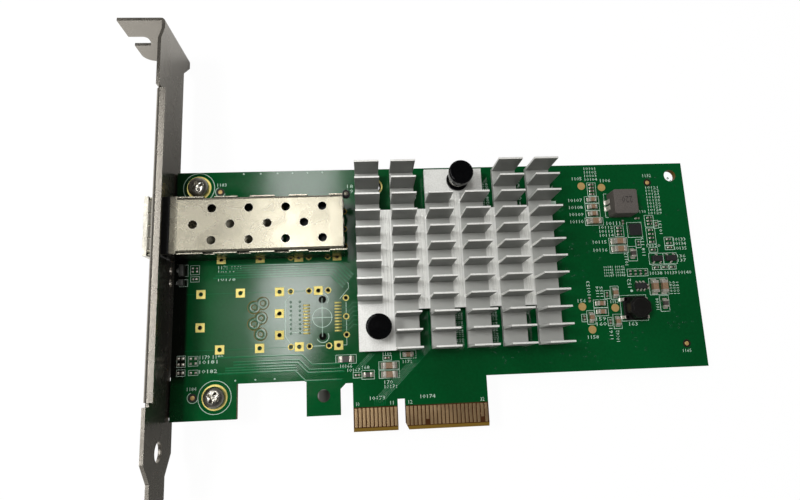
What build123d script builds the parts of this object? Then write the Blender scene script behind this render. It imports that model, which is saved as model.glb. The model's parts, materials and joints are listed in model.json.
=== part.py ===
from build123d import *
import math
import os

# A network interface card: a low-profile circuit board on a full-height mounting bracket, with one
# transceiver cage fitted, the footprint of a second one left empty, and a pin-fin heatsink.
# Millimetres. X runs from the bracket towards the board's free end, Y from the edge contacts towards
# the board's top edge, and Z out of the component face. The origin is the middle of the key notch, at
# the bottom of the edge contacts, on the component face.

# Circuit board
board_t = 1.57
board_right_x = 81.4
board_bottom_y = 12.5
board_gap = 0.5
foot_right_x = -41.1
foot_bottom_y = 4.4
foot_step_y = 13.0
hook_left_x = -23.8
hook_right_x = -15.3
hook_bottom_y = 4.3
hook_shoulder_y = 10.6
hook_slot_top_y = 12.0
hook_slot_chamfer = 1.4
corner_hole_in = 3.6
corner_hole_d = 3.3
hook_hole = (-19.5, 9.15)
hook_hole_d = 3.2

# Edge contacts
contact_pitch = 1.0
contact_w = 0.7
contact_t = 0.05
contact_bottom_y = 1.1
contact_top_y = 5.7
contact_short_bottom_y = 2.4
short_count = 11
long_count = 21
key_to_contact = 1.5
contact_edge_margin = 0.65
key_half_w = 0.95
key_top_y = 7.6
edge_chamfer = 0.8
bevel_h = 0.9
bevel_depth = 0.4
front_short_contacts = (17, 31)
back_short_contacts = (1,)

# Mounting bracket, a folded steel sheet
sheet_t = 0.86
bend_r = 0.3
bracket_inner_x = -57.9
strip_w = 18.42
strip_far_z = -3.8
bracket_top_y = 106.68
bracket_h = 120.02
tongue_w = 10.19
tongue_h = 5.3
tongue_taper_h = 4.8
head_h = 2.9
head_far_drop = 5.1
head_near_step = 2.3
head_taper_h = 4.2
tab_l = 11.43
tab_far_step = 1.0
tab_corner_r = 3.4
slot_w = 4.42
slot_depth = 5.0
slot_z = 2.6
slot_corner_r = 1.3
flange_w = 2.4
flange_bottom_y = 10.0
flange_top_y = 86.0
flange_relief = 1.0
low_hole_up = 11.54
low_hole_d = 4.8
light_hole_d = 2.0
light_hole_sides = 10
ear_w = 9.0
ear_past_screw = 4.4
ear_relief = 0.8
ear_corner_r = 2.0

# Bracket screws: the upper one stands above the upper port, and the board's top edge above it
lower_screw = (-46.5, 9.9)
upper_screw_x = -51.7
port_to_screw = 12.4
screw_to_board_top = 4.3
screw_d = 2.9
screw_play = 0.1
screw_board_play = 0.4
screw_head_d = 5.4
screw_head_h = 1.9
screw_head_edge_h = 0.8
screw_past_ear = 1.0
recess_w = 0.7
recess_l = 2.9
recess_depth = 1.1
ring_d = 6.4
round_sides = 16
dome_steps = ((1.0, 0.0), (0.84, 0.62), (0.45, 1.0))

# Transceiver ports
port_pitch = 23.2
lower_port_y = 28.7
port_pin_spread = 14.25
pin_pitch = 10.0
outer_pin_x = -50.5
pins_per_side = 4
floor_pins = ((-50.5, -1.4), (-30.5, 1.5), (-30.5, -4.0))
pad_t = 0.05
pin_pad_w = 2.3
pin_hole_d = 1.05
signal_pad_d = 1.7
signal_hole_d = 0.95
plated_hole_sides = 6
pad_sides = 8
signal_xs = (-27.6, -22.9, -17.95)
signal_end_x = -13.4
signal_end_offsets = (5.0, 0.2, -4.5)
socket_pad_l = 1.8
socket_pad_w = 0.45
socket_pitch = 0.8
socket_rows = 10
socket_front_x = -23.6
socket_rear_x = -15.5
socket_stagger = 0.4
peg_hole_d = 1.9
peg_x = -19.5
peg_spread = 9.5

# Cage
cage_sheet = 0.3
cage_front_x = -62.0
cage_rear_x = -13.4
cage_top_z = 9.8
cage_standoff = 0.1
cage_wall_gap = 0.12
cage_hole_d = 2.1
cage_hole_sides = 10
cage_hole_pitch = 9.07
cage_hole_first_x = -45.7
cage_hole_row_pitch = 4.05
cage_holes_per_row = 4
cage_floor_end_x = -30.2
cage_wall_top_drop = 0.35
cage_notch_h = 1.5
cage_notches = ((-47.8, -45.2), (-39.6, -36.4), (-30.4, -26.8), (-22.2, -16.8))
cage_lug_l = 0.9
cage_lug_h = 3.0
cage_rear_gap_h = 0.9
cage_pin_w = 0.7
cage_pin_past_board = 0.9
latch_window_l = 3.2
latch_window_w = 3.4
latch_window_x = -57.0
window_play = 0.25

# Spring collar at the mouth of the cage
collar_t = 0.2
collar_l = 3.0
collar_root_l = 1.0
collar_bulge = 0.4
finger_gap = 0.35
collar_corner = 1.2
wide_finger_count = 4
high_finger_count = 2

# Socket inside the cage
socket_w = 11.6
socket_h = 5.6
socket_body_front_x = -22.6
socket_body_rear_x = -16.4
nose_l = 5.2
nose_w = 9.4
nose_bottom_z = 2.4
nose_top_z = 6.8
card_slot_w = 7.8
card_slot_h = 1.2
card_slot_depth = 4.4
lead_w = 0.32
lead_t = 0.2
lead_rise = 1.8
lead_foot = 1.5
peg_d = 1.45
peg_depth = 1.2

# Heatsink
fin_cols = 6
fin_rows = 12
fin_t = 0.8
fin_h = 8.8
fin_w = 6.2
fin_col_pitch = 9.18
fin_row_pitch = 4.218
sink_left_x = -10.25
sink_bottom_y = 19.6
sink_base_t = 1.6
sink_slot_end_top_y = 56.0
sink_slot_end_bottom_y = 29.8
top_slot_gaps = (0, 1, 3, 4)
bottom_slot_gaps = (1, 2, 3, 4)
bare_top_cols = (2, 3)
bare_top_rows = 2
bare_bottom_cols = (0,)
bare_bottom_rows = 3

# Controller under the heatsink
chip_centre = (5.8, 44.4)
substrate_w = 25.0
substrate_t = 1.3
lid_w = 17.0
lid_t = 0.9
lid_edge = 0.25
thermal_pad_t = 0.4

# Push pins of the heatsink, placed in fin columns and fin rows from its lower left corner
push_pin_steps = ((2.957, 10.43), (0.539, 1.351))
push_head_d = 6.0
push_head_h = 2.3
push_head_rim_h = 0.7
push_shaft_d = 2.7
push_play = 0.4
push_sink_play = 0.7
push_gap_under_head = 5.1
push_tip_l = 2.0
push_tip_d = 1.6
push_barb_d = 3.6
push_barb_clear = 0.1
push_slit_w = 0.6
collar_ring_d = 5.8
collar_ring_t = 0.7
coil_d = 4.3
coil_wire_d = 0.5
coil_turns = 3
coil_sides = 7
coil_clear = 0.02

# Indicator lights beside the bracket, given by how far below the upper port they stand and their width
light_x = -55.2
light_drops = ((9.9, 3.0), (13.05, 1.6))
light_l = 1.2
light_h = 1.7
lens_d = 1.2
lens_out = 0.7
lens_sides = 10
light_hole_z = 1.0

# Chip components: sizes as length, width, height
small_chip = (1.0, 0.5, 0.4)
medium_chip = (2.0, 1.25, 1.1)
large_chip = (3.2, 1.6, 1.4)
chip_end_share = 0.24
chip_end_t = 0.06
upright = True
level = False

large_capacitors = (
    (-2.8, 16.0, level), (-2.8, 13.8, level), (54.8, 52.4, level), (60.9, 46.6, level),
    (60.9, 44.4, level), (69.3, 33.9, upright), (71.9, 33.9, upright),
)
medium_capacitors = (
    (54.7, 58.5, level), (54.7, 56.5, level), (54.7, 54.5, level), (58.3, 32.6, upright),
    (51.2, 26.3, upright), (58.2, 25.0, upright), (2.2, 18.6, level), (54.1, 29.9, level),
    (54.1, 27.7, level),
)
large_beads = ((-13.7, 18.0, level),)
medium_beads = ((-8.2, 13.9, level), (64.4, 43.1, upright), (71.7, 29.3, upright))
small_capacitors = (
    (55.0, 62.8, level), (55.0, 61.9, level), (55.0, 61.0, level), (55.0, 60.1, level),
    (-10.9, 13.9, level), (-3.2, 17.9, level), (56.1, 32.2, upright), (49.3, 26.2, upright),
    (56.2, 25.0, upright), (51.2, 31.0, upright), (62.7, 51.9, upright), (75.0, 44.5, level),
    (72.0, 51.1, upright), (66.9, 52.9, level), (67.6, 34.0, upright),
)
small_resistors = (
    (61.5, 50.3, level), (61.5, 49.4, level), (61.5, 48.5, level), (66.4, 45.9, upright),
    (70.3, 53.0, level), (70.3, 52.1, level), (70.3, 51.2, level), (70.3, 49.5, level),
    (70.3, 48.4, level), (70.3, 47.3, level), (70.3, 46.2, level), (70.4, 44.0, level),
    (75.0, 46.8, level), (75.0, 45.7, level), (70.6, 39.1, level), (73.1, 39.1, level),
    (75.2, 39.1, level), (63.2, 37.9, upright), (64.6, 37.9, upright), (66.0, 37.9, upright),
    (67.4, 37.9, upright),
)
light_resistor_drops = ((-52.7, 9.7, upright), (-51.6, 9.7, upright), (-52.1, 12.1, level))

# Power inductor
choke_centre = (62.15, 56.65)
choke_size = (6.5, 6.7, 4.7)
choke_edge = 0.35
choke_foot_w = 3.0
choke_foot_t = 0.15
choke_foot_h = 1.9
choke_foot_under = 1.3

# Drum inductor
drum_centre = (63.1, 28.3)
drum_base_w = 6.2
drum_base_h = 1.0
drum_foot_t = 0.15
drum_foot_l = 1.0
drum_foot_w = 1.8
drum_w = 5.5
drum_h = 3.0
drum_top_w = 4.2
drum_top_h = 0.25

# Regulator with leads flush under its edges
regulator_centre = (65.8, 49.7)
regulator_w = 3.2
regulator_h = 0.85
regulator_lead_w = 0.25
regulator_lead_l = 0.4
regulator_lead_pitch = 0.5
regulator_leads_per_side = 5
regulator_lead_t = 0.15

# Small gull-wing packages
switcher_centre = (65.5, 34.2)
transistor_centres = ((70.9, 41.5), (74.8, 41.5))
gull_body = (2.9, 1.5, 1.05)
gull_lead_w = 0.4
gull_lead_t = 0.15
gull_lead_span = 2.8
gull_lead_z = 0.5
gull_lead_pitch = 0.95

# Bare copper marks
test_pad_d = 2.1
test_pads_at = ((52.2, 62.5), (57.9, 62.0), (49.1, 29.2), (58.0, 28.6), (51.2, 23.1))
mark_d = 1.1
mark_sides = 10
upper_mark_xs = (-46.1, 71.1)
upper_mark_drop = 5.5
lower_marks = ((-51.9, 10.0), (76.3, 18.55))

# Places that follow from the sizes above
bracket_outer_x = bracket_inner_x - sheet_t
bracket_mid_x = bracket_inner_x - sheet_t / 2
board_left_x = bracket_inner_x + board_gap
first_contact_x = -key_to_contact - (short_count - 1) * contact_pitch
last_contact_x = key_to_contact + (long_count - 1) * contact_pitch
edge_left_x = first_contact_x - contact_edge_margin
edge_right_x = last_contact_x + contact_edge_margin
strip_near_z = strip_far_z + strip_w
strip_mid_z = strip_far_z + strip_w / 2
bracket_bottom_y = bracket_top_y - bracket_h
low_hole_y = bracket_bottom_y + low_hole_up
tab_end_x = bracket_outer_x - tab_l
head_far_z = strip_far_z - head_far_drop
head_near_z = strip_near_z - head_near_step
ear_top_z = -board_t
upper_port_y = lower_port_y + port_pitch
port_ys = (lower_port_y, upper_port_y)
upper_screw = (upper_screw_x, upper_port_y + port_to_screw)
bracket_screw_places = (upper_screw, lower_screw)
board_top_y = upper_screw[1] + screw_to_board_top
corner_hole = (board_right_x - corner_hole_in, board_top_y - corner_hole_in)
marks_at = [(x, board_top_y - upper_mark_drop) for x in upper_mark_xs] + list(lower_marks)
light_places = [(upper_port_y - drop, width) for drop, width in light_drops]
light_resistors = tuple((x, upper_port_y - drop, turned) for x, drop, turned in light_resistor_drops)
cage_wall_y = port_pin_spread / 2
cage_half_w = cage_wall_y + cage_sheet / 2
cover_half_w = cage_wall_y - cage_sheet / 2 - cage_wall_gap
cage_floor_z = cage_standoff + cage_sheet
sink_base_bottom_z = substrate_t + lid_t + thermal_pad_t
sink_base_top_z = sink_base_bottom_z + sink_base_t
sink_w = (fin_cols - 1) * fin_col_pitch + fin_w
sink_h = (fin_rows - 1) * fin_row_pitch + fin_t
push_pin_places = [(sink_left_x + columns * fin_col_pitch, sink_bottom_y + rows * fin_row_pitch)
                   for columns, rows in push_pin_steps]
plated_hole = (push_pin_places[1][0], push_pin_places[0][1])
screw_hole_d = screw_d + screw_board_play
push_hole_d = push_shaft_d + push_play


def block(x0, x1, y0, y1, z0, z1):
    """A box given by its limits along each axis."""
    place = Pos((x0 + x1) / 2, (y0 + y1) / 2, (z0 + z1) / 2)
    return place * Box(abs(x1 - x0), abs(y1 - y0), abs(z1 - z0))


def rod(centre, diameter, z0, z1, sides=None):
    """A rod along Z between two heights: round, or with a number of flat sides where that is given."""
    if sides is None:
        return Pos(centre[0], centre[1], (z0 + z1) / 2) * Cylinder(diameter / 2, abs(z1 - z0))
    end = Pos(centre[0], centre[1], min(z0, z1)) * RegularPolygon(diameter / 2, sides)
    return extrude(end, amount=abs(z1 - z0))


def ring(place, outer_d, inner_d, z0, z1, sides, hole_sides):
    return rod(place, outer_d, z0, z1, sides) - rod(place, inner_d, z0, z1, hole_sides)


def group(pieces):
    """Separate solids kept together as one node."""
    solids = []
    for piece in pieces:
        solids += piece.solids()
    return Compound(children=solids)


def pin_places(port_y):
    """Centres of the square pads of one port, which take the pins of its cage."""
    places = []
    for index in range(pins_per_side):
        x = outer_pin_x + index * pin_pitch
        places.append((x, port_y + port_pin_spread / 2))
        places.append((x + pin_pitch / 2, port_y - port_pin_spread / 2))
    for x, offset in floor_pins:
        places.append((x, port_y + offset))
    return places


def signal_places(port_y):
    """Centres of the round plated holes of one port."""
    places = []
    for x in signal_xs:
        places.append((x, port_y + port_pin_spread / 2))
        places.append((x, port_y - port_pin_spread / 2))
    for offset in signal_end_offsets:
        places.append((signal_end_x, port_y + offset))
    return places


def socket_lead_ys(port_y, side):
    """Y of the leads of one row of a socket; side is 1 for the rear row and -1 for the front one."""
    middle = port_y + side * socket_stagger / 2
    first = middle - (socket_rows - 1) * socket_pitch / 2
    return [first + index * socket_pitch for index in range(socket_rows)]


def board_outline():
    """The board's outline, from the lower left corner round to the upper left one."""
    return [
        (board_left_x, foot_bottom_y),
        (foot_right_x, foot_bottom_y),
        (foot_right_x, foot_step_y),
        (hook_left_x, foot_step_y),
        (hook_left_x, hook_bottom_y),
        (hook_right_x, hook_bottom_y),
        (hook_right_x, hook_shoulder_y),
        (hook_right_x + hook_slot_chamfer, hook_slot_top_y),
        (edge_left_x, hook_slot_top_y),
        (edge_left_x, 0),
        (-key_half_w, 0),
        (-key_half_w, key_top_y),
        (key_half_w, key_top_y),
        (key_half_w, 2 * edge_chamfer),
        (key_half_w + edge_chamfer, 0),
        (edge_right_x, 0),
        (edge_right_x, board_bottom_y),
        (board_right_x, board_bottom_y),
        (board_right_x, board_top_y),
        (board_left_x, board_top_y),
    ]


def bevel_cutter(face_z, inward):
    """A long wedge that bevels the bottom of the edge contacts on one face of the board."""
    wedge = make_face(Polyline(
        (-bevel_h, face_z - inward * bevel_h),
        (bevel_h, face_z - inward * bevel_h),
        (bevel_h, face_z),
        (0, face_z + inward * bevel_depth),
        (-bevel_h, face_z + inward * bevel_depth),
        close=True,
    ))
    length = edge_right_x - edge_left_x + 2 * contact_pitch
    start = Plane(origin=(edge_left_x - contact_pitch, 0, 0), x_dir=(0, 1, 0), z_dir=(1, 0, 0))
    return extrude(start * wedge, amount=length)


def make_circuit_board():
    board = extrude(make_face(Polyline(*board_outline(), close=True)), amount=-board_t)
    holes = [rod(corner_hole, corner_hole_d, -board_t, 0)]
    holes.append(rod(hook_hole, hook_hole_d, -board_t, 0))
    for place in bracket_screw_places + (plated_hole,):
        holes.append(rod(place, screw_hole_d, -board_t, 0, round_sides))
    holes += [rod(place, push_hole_d, -board_t, 0, round_sides) for place in push_pin_places]
    for port_y in port_ys:
        small = [(place, pin_hole_d) for place in pin_places(port_y)]
        small += [(place, signal_hole_d) for place in signal_places(port_y)]
        small += [((peg_x, port_y + side * peg_spread / 2), peg_hole_d) for side in (-1, 1)]
        holes += [rod(place, width, -board_t, 0, plated_hole_sides) for place, width in small]
    return board - holes - bevel_cutter(0, -1) - bevel_cutter(-board_t, 1)


def contact_x(number):
    """X of an edge contact, counted from 1 at the bracket's side of the key notch."""
    if number <= short_count:
        return first_contact_x + (number - 1) * contact_pitch
    return key_to_contact + (number - short_count - 1) * contact_pitch


def make_edge_contacts(face_z, outward, shortened):
    contacts = []
    for number in range(1, short_count + long_count + 1):
        x = contact_x(number)
        bottom = contact_short_bottom_y if number in shortened else contact_bottom_y
        contacts.append(block(x - contact_w / 2, x + contact_w / 2, bottom, contact_top_y,
                              face_z, face_z + outward * contact_t))
    return group(contacts)


def make_pin_pads():
    pads = []
    for port_y in port_ys:
        for x, y in pin_places(port_y):
            half = pin_pad_w / 2
            pad = block(x - half, x + half, y - half, y + half, 0, pad_t)
            pads.append(pad - rod((x, y), pin_hole_d, 0, pad_t, plated_hole_sides))
    return group(pads)


def make_signal_pads():
    pads = []
    for port_y in port_ys:
        for place in signal_places(port_y):
            pads.append(ring(place, signal_pad_d, signal_hole_d, 0, pad_t,
                             pad_sides, plated_hole_sides))
    return group(pads)


def make_socket_pads():
    pads = []
    for port_y in port_ys:
        for side, x in ((-1, socket_front_x), (1, socket_rear_x)):
            for y in socket_lead_ys(port_y, side):
                pads.append(block(x - socket_pad_l / 2, x + socket_pad_l / 2,
                                  y - socket_pad_w / 2, y + socket_pad_w / 2, 0, pad_t))
    return group(pads)


def make_mounting_rings():
    places = bracket_screw_places + (plated_hole,)
    return group([ring(place, ring_d, screw_hole_d, 0, pad_t, round_sides, round_sides)
                  for place in places])


def make_discs(places, diameter, sides):
    return group([rod(place, diameter, 0, pad_t, sides) for place in places])


def folded(points, plane, length):
    """A sheet folded along a path: the path's points lie in the middle of the sheet."""
    path = FilletPolyline(*points, radius=bend_r + sheet_t / 2)
    return extrude(plane * trace(path, line_width=sheet_t), amount=length)


def strip_outline():
    """The bracket seen along X, as Y and Z."""
    half_tongue = tongue_w / 2
    taper_y = bracket_bottom_y + tongue_h
    straight_y = taper_y + tongue_taper_h
    head_y = bracket_top_y - head_h
    return [
        (bracket_bottom_y, strip_mid_z - half_tongue),
        (taper_y, strip_mid_z - half_tongue),
        (straight_y, strip_far_z),
        (head_y - head_taper_h, strip_far_z),
        (head_y, head_far_z),
        (bracket_top_y, head_far_z),
        (bracket_top_y, head_near_z),
        (head_y, head_near_z),
        (head_y - head_taper_h, strip_near_z),
        (straight_y, strip_near_z),
        (taper_y, strip_mid_z + half_tongue),
        (bracket_bottom_y, strip_mid_z + half_tongue),
    ]


def bent_strip():
    """The strip and its top tab, bent from one sheet, before the other folds and the holes."""
    reach = strip_w + head_far_drop
    mid_top = bracket_top_y - sheet_t / 2
    middle = ((bracket_mid_x, bracket_bottom_y), (bracket_mid_x, mid_top), (tab_end_x, mid_top))
    sheet = folded(middle, Plane.XY.offset(head_far_z), reach)
    side_view = make_face(Polyline(*strip_outline(), close=True))
    across = Plane(origin=(tab_end_x, 0, 0), x_dir=(0, 1, 0), z_dir=(1, 0, 0))
    blank = sheet & extrude(across * side_view, amount=tab_l + 2 * sheet_t)
    tab_low = bracket_top_y - sheet_t
    far_cut = block(tab_end_x, bracket_outer_x - sheet_t, tab_low, bracket_top_y,
                    head_far_z, head_far_z + tab_far_step)
    slot = block(tab_end_x, tab_end_x + slot_depth, tab_low, bracket_top_y,
                 slot_z - slot_w / 2, slot_z + slot_w / 2)
    inner = slot.edges().filter_by(Axis.Y).group_by(Axis.X)[-1]
    blank = blank - far_cut - fillet(inner, slot_corner_r)
    corner = blank.edges().filter_by(Axis.Y).filter_by(
        lambda edge: edge.center().X < tab_end_x + sheet_t and edge.center().Z < slot_z - slot_w)
    return fillet(corner, min(tab_corner_r, tab_l / 3))


def flange_fold():
    """The stiffening flange along the near edge of the strip."""
    mid_z = strip_near_z - sheet_t / 2
    points = ((bracket_mid_x, strip_near_z - flange_w), (bracket_mid_x, mid_z),
              (bracket_outer_x + flange_w, mid_z))
    plane = Plane(origin=(0, flange_bottom_y, 0), x_dir=(1, 0, 0), z_dir=(0, -1, 0))
    return folded(points, plane, -(flange_top_y - flange_bottom_y))


def ear_y(place):
    """Y limits of the ear under one bracket screw."""
    return place[1] - ear_w / 2, place[1] + ear_w / 2


def ear_fold(place):
    """An ear folded back under the board, which the bracket screw threads into."""
    low, high = ear_y(place)
    mid_z = ear_top_z - sheet_t / 2
    points = ((bracket_mid_x, mid_z + ear_w / 2), (bracket_mid_x, mid_z),
              (place[0] + ear_past_screw, mid_z))
    plane = Plane(origin=(0, low, 0), x_dir=(1, 0, 0), z_dir=(0, -1, 0))
    ear = folded(points, plane, -(high - low))
    ends = ear.edges().filter_by(Axis.Z).group_by(Axis.X)[-1]
    ear = fillet(ends, min(ear_corner_r, ear_w / 3))
    return ear - rod(place, screw_d + screw_play, ear_top_z - sheet_t, ear_top_z, round_sides)


def make_mounting_bracket():
    bracket = bent_strip()
    side = strip_near_z - flange_w
    bracket -= block(bracket_outer_x, bracket_inner_x, flange_bottom_y - flange_relief,
                     flange_top_y + flange_relief, side + bend_r, strip_near_z)
    bracket += flange_fold()
    for place in bracket_screw_places:
        low, high = ear_y(place)
        bracket -= block(bracket_outer_x, bracket_inner_x, low - ear_relief, high + ear_relief,
                         strip_far_z, ear_top_z + bend_r)
        bracket += ear_fold(place)
    mouth = cage_half_w + window_play
    holes = [block(bracket_outer_x, bracket_inner_x, upper_port_y - mouth, upper_port_y + mouth,
                   cage_standoff - window_play, cage_top_z + window_play)]
    along = Rot(0, 90, 0)
    bore = rod((0, 0), low_hole_d, -sheet_t, sheet_t)
    holes.append(Pos(bracket_mid_x, low_hole_y, strip_mid_z) * along * bore)
    for y, width in light_places:
        bore = rod((0, 0), light_hole_d, -sheet_t, sheet_t, light_hole_sides)
        holes.append(Pos(bracket_mid_x, y, light_hole_z) * along * bore)
    return bracket - holes


def turned(profile, sides):
    """A many-sided turned solid round the Z axis, from its profile: diameters and heights going up."""
    rings = []
    for diameter, z in profile:
        angles = [index * math.tau / sides for index in range(sides)]
        rings.append([(diameter / 2 * math.cos(a), diameter / 2 * math.sin(a), z) for a in angles])
    outlines = [rings[0], rings[-1]]
    for low, high in zip(rings, rings[1:]):
        for index in range(sides):
            after = (index + 1) % sides
            outlines.append([low[index], low[after], high[after], high[index]])
    return Solid(Shell([Face(Wire.make_polygon(outline)) for outline in outlines]))


def domed_head(diameter, low, rim, top):
    """The profile of a round head: a straight rim and a dome drawn as steps of slope."""
    dome = [(share * diameter, rim + rise * (top - rim)) for share, rise in dome_steps]
    return [(diameter, low)] + dome


def make_screw(place):
    """A pan-head screw with a cross recess."""
    head_top = pad_t + screw_head_h
    tip = ear_top_z - sheet_t - screw_past_ear
    point = screw_d / 8
    profile = [(screw_d - 2 * point, tip), (screw_d, tip + point), (screw_d, pad_t)]
    profile += domed_head(screw_head_d, pad_t, pad_t + screw_head_edge_h, head_top)
    cut_z = head_top - recess_depth / 2
    cross = Pos(0, 0, cut_z) * Box(recess_l, recess_w, recess_depth)
    cross += Pos(0, 0, cut_z) * Box(recess_w, recess_l, recess_depth)
    return Pos(place[0], place[1], 0) * (turned(profile, round_sides) - cross)


def make_cage_cover():
    """The upper half of the cage: top, inner side walls and rear wall, bent from one sheet."""
    low = cage_floor_z
    outer = block(cage_front_x, cage_rear_x, upper_port_y - cover_half_w,
                  upper_port_y + cover_half_w, low, cage_top_z)
    bends = outer.edges().filter_by(Axis.X).group_by(Axis.Z)[-1]
    outer = fillet(bends, 2 * cage_sheet)
    inner_half = cover_half_w - cage_sheet
    inner = block(cage_front_x, cage_rear_x - cage_sheet, upper_port_y - inner_half,
                  upper_port_y + inner_half, low, cage_top_z - cage_sheet)
    inner = fillet(inner.edges().filter_by(Axis.X).group_by(Axis.Z)[-1], cage_sheet)
    cover = outer - inner
    cover -= block(cage_rear_x - cage_sheet, cage_rear_x, upper_port_y - inner_half,
                   upper_port_y + inner_half, low, low + cage_rear_gap_h)
    holes = []
    for row in (-1, 0, 1):
        shift = -cage_hole_pitch / 2 if row == 0 else 0
        for index in range(cage_holes_per_row):
            x = cage_hole_first_x + shift + index * cage_hole_pitch
            place = (x, upper_port_y + row * cage_hole_row_pitch)
            holes.append(rod(place, cage_hole_d, cage_top_z - cage_sheet, cage_top_z,
                             cage_hole_sides))
    return cover - holes


def make_cage_base():
    """The lower half of the cage: floor and outer side walls, with the pins that enter the board."""
    wall_top = cage_top_z - cage_wall_top_drop
    pieces = block(cage_front_x, cage_floor_end_x, upper_port_y - cage_half_w,
                   upper_port_y + cage_half_w, cage_standoff, cage_floor_z)
    pin_bottom = -board_t - cage_pin_past_board
    for side in (-1, 1):
        outer_y = upper_port_y + side * cage_half_w
        inner_y = outer_y - side * cage_sheet
        pieces += block(cage_front_x, cage_rear_x, inner_y, outer_y, cage_standoff, wall_top)
        pieces += block(cage_rear_x, cage_rear_x + cage_lug_l, inner_y, outer_y,
                        wall_top - cage_lug_h, wall_top)
        for start, end in cage_notches:
            pieces -= block(start, end, inner_y, outer_y, wall_top - cage_notch_h, wall_top)
        for index in range(pins_per_side):
            x = outer_pin_x + index * pin_pitch
            if side < 0:
                x += pin_pitch / 2
            pieces += block(x - cage_pin_w / 2, x + cage_pin_w / 2, inner_y, outer_y,
                            pin_bottom, cage_standoff)
    for x, offset in floor_pins:
        y = upper_port_y + offset
        pieces += block(x - cage_sheet / 2, x + cage_sheet / 2, y - cage_pin_w / 2,
                        y + cage_pin_w / 2, pin_bottom, cage_floor_z)
    pieces -= block(latch_window_x - latch_window_l / 2, latch_window_x + latch_window_l / 2,
                    upper_port_y - latch_window_w / 2, upper_port_y + latch_window_w / 2,
                    cage_standoff, cage_floor_z)
    return pieces


def finger_row(width, count, place):
    """Sprung fingers side by side along Y, bulging up from Z = 0, from the collar's ring backwards."""
    root = collar_root_l
    tip = collar_l
    crest = (root + tip) / 2
    half = collar_t / 2
    path = Polyline((root - half, half), (crest - half, half + collar_bulge), (tip, half))
    pitch = (width - 2 * collar_corner + finger_gap) / count
    strip = extrude(Plane.XZ * trace(path, line_width=collar_t), amount=-(pitch - finger_gap))
    first = -width / 2 + collar_corner
    fingers = [place * Pos(0, first + index * pitch, 0) * strip for index in range(count)]
    return fingers


def make_collar():
    """The spring collar round the mouth of the cage."""
    low_z = cage_standoff
    ring_end = cage_front_x + collar_root_l
    outer = block(cage_front_x, ring_end, upper_port_y - cage_half_w - collar_t,
                  upper_port_y + cage_half_w + collar_t, low_z - collar_t, cage_top_z + collar_t)
    collar = outer - block(cage_front_x, ring_end, upper_port_y - cage_half_w,
                           upper_port_y + cage_half_w, low_z, cage_top_z)
    width = 2 * cage_half_w
    height = cage_top_z - low_z
    mid_z = (cage_top_z + low_z) / 2
    top = Pos(cage_front_x, upper_port_y, cage_top_z)
    bottom = Pos(cage_front_x, upper_port_y, low_z) * Rot(180, 0, 0)
    left = Pos(cage_front_x, upper_port_y + cage_half_w, mid_z) * Rot(-90, 0, 0)
    right = Pos(cage_front_x, upper_port_y - cage_half_w, mid_z) * Rot(90, 0, 0)
    for place, count, span in ((top, wide_finger_count, width), (bottom, wide_finger_count, width),
                               (left, high_finger_count, height), (right, high_finger_count, height)):
        for finger in finger_row(span, count, place):
            collar += finger
    return collar


def make_socket_housing():
    """The moulded socket at the back of the cage, with the slot that takes a card edge."""
    y = upper_port_y
    body = block(socket_body_front_x, socket_body_rear_x, y - socket_w / 2, y + socket_w / 2,
                 pad_t, socket_h)
    nose = block(socket_body_front_x - nose_l, socket_body_rear_x, y - nose_w / 2,
                 y + nose_w / 2, nose_bottom_z, nose_top_z)
    front = socket_body_front_x - nose_l
    mid_z = (nose_bottom_z + nose_top_z) / 2
    slot = block(front, front + card_slot_depth, y - card_slot_w / 2, y + card_slot_w / 2,
                 mid_z - card_slot_h / 2, mid_z + card_slot_h / 2)
    housing = body + nose - slot
    for side in (-1, 1):
        peg = (peg_x, y + side * peg_spread / 2)
        housing += rod(peg, peg_d, -peg_depth, pad_t, pad_sides)
    return housing


def make_socket_leads():
    """The leads of the socket: a foot on each pad and a riser against the housing."""
    leads = []
    for side, face_x in ((-1, socket_body_front_x), (1, socket_body_rear_x)):
        for y in socket_lead_ys(upper_port_y, side):
            low = y - lead_w / 2
            high = y + lead_w / 2
            riser = block(face_x, face_x + side * lead_t, low, high, pad_t, pad_t + lead_rise)
            foot = block(face_x, face_x + side * lead_foot, low, high, pad_t, pad_t + lead_t)
            leads.append(riser + foot)
    return group(leads)


def fin_is_bare(col, row):
    """True where the heatsink has no fin, to leave room for a push pin; row 0 is the lowest."""
    if col in bare_top_cols and row >= fin_rows - bare_top_rows:
        return True
    return col in bare_bottom_cols and row < bare_bottom_rows


def make_heatsink():
    top_y = sink_bottom_y + sink_h
    base = block(sink_left_x, sink_left_x + sink_w, sink_bottom_y, top_y,
                 sink_base_bottom_z, sink_base_top_z)
    cuts = []
    for gap in range(fin_cols - 1):
        x0 = sink_left_x + gap * fin_col_pitch + fin_w
        x1 = sink_left_x + (gap + 1) * fin_col_pitch
        if gap in top_slot_gaps:
            cuts.append(block(x0, x1, sink_slot_end_top_y, top_y,
                              sink_base_bottom_z, sink_base_top_z))
        if gap in bottom_slot_gaps:
            cuts.append(block(x0, x1, sink_bottom_y, sink_slot_end_bottom_y,
                              sink_base_bottom_z, sink_base_top_z))
    for place in push_pin_places:
        cuts.append(rod(place, push_shaft_d + push_sink_play, sink_base_bottom_z, sink_base_top_z,
                        round_sides))
    fins = []
    for col in range(fin_cols):
        x0 = sink_left_x + col * fin_col_pitch
        for row in range(fin_rows):
            if fin_is_bare(col, row):
                continue
            y0 = sink_bottom_y + row * fin_row_pitch
            fins.append(block(x0, x0 + fin_w, y0, y0 + fin_t,
                              sink_base_top_z, sink_base_top_z + fin_h))
    return (base - cuts) + fins


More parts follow.
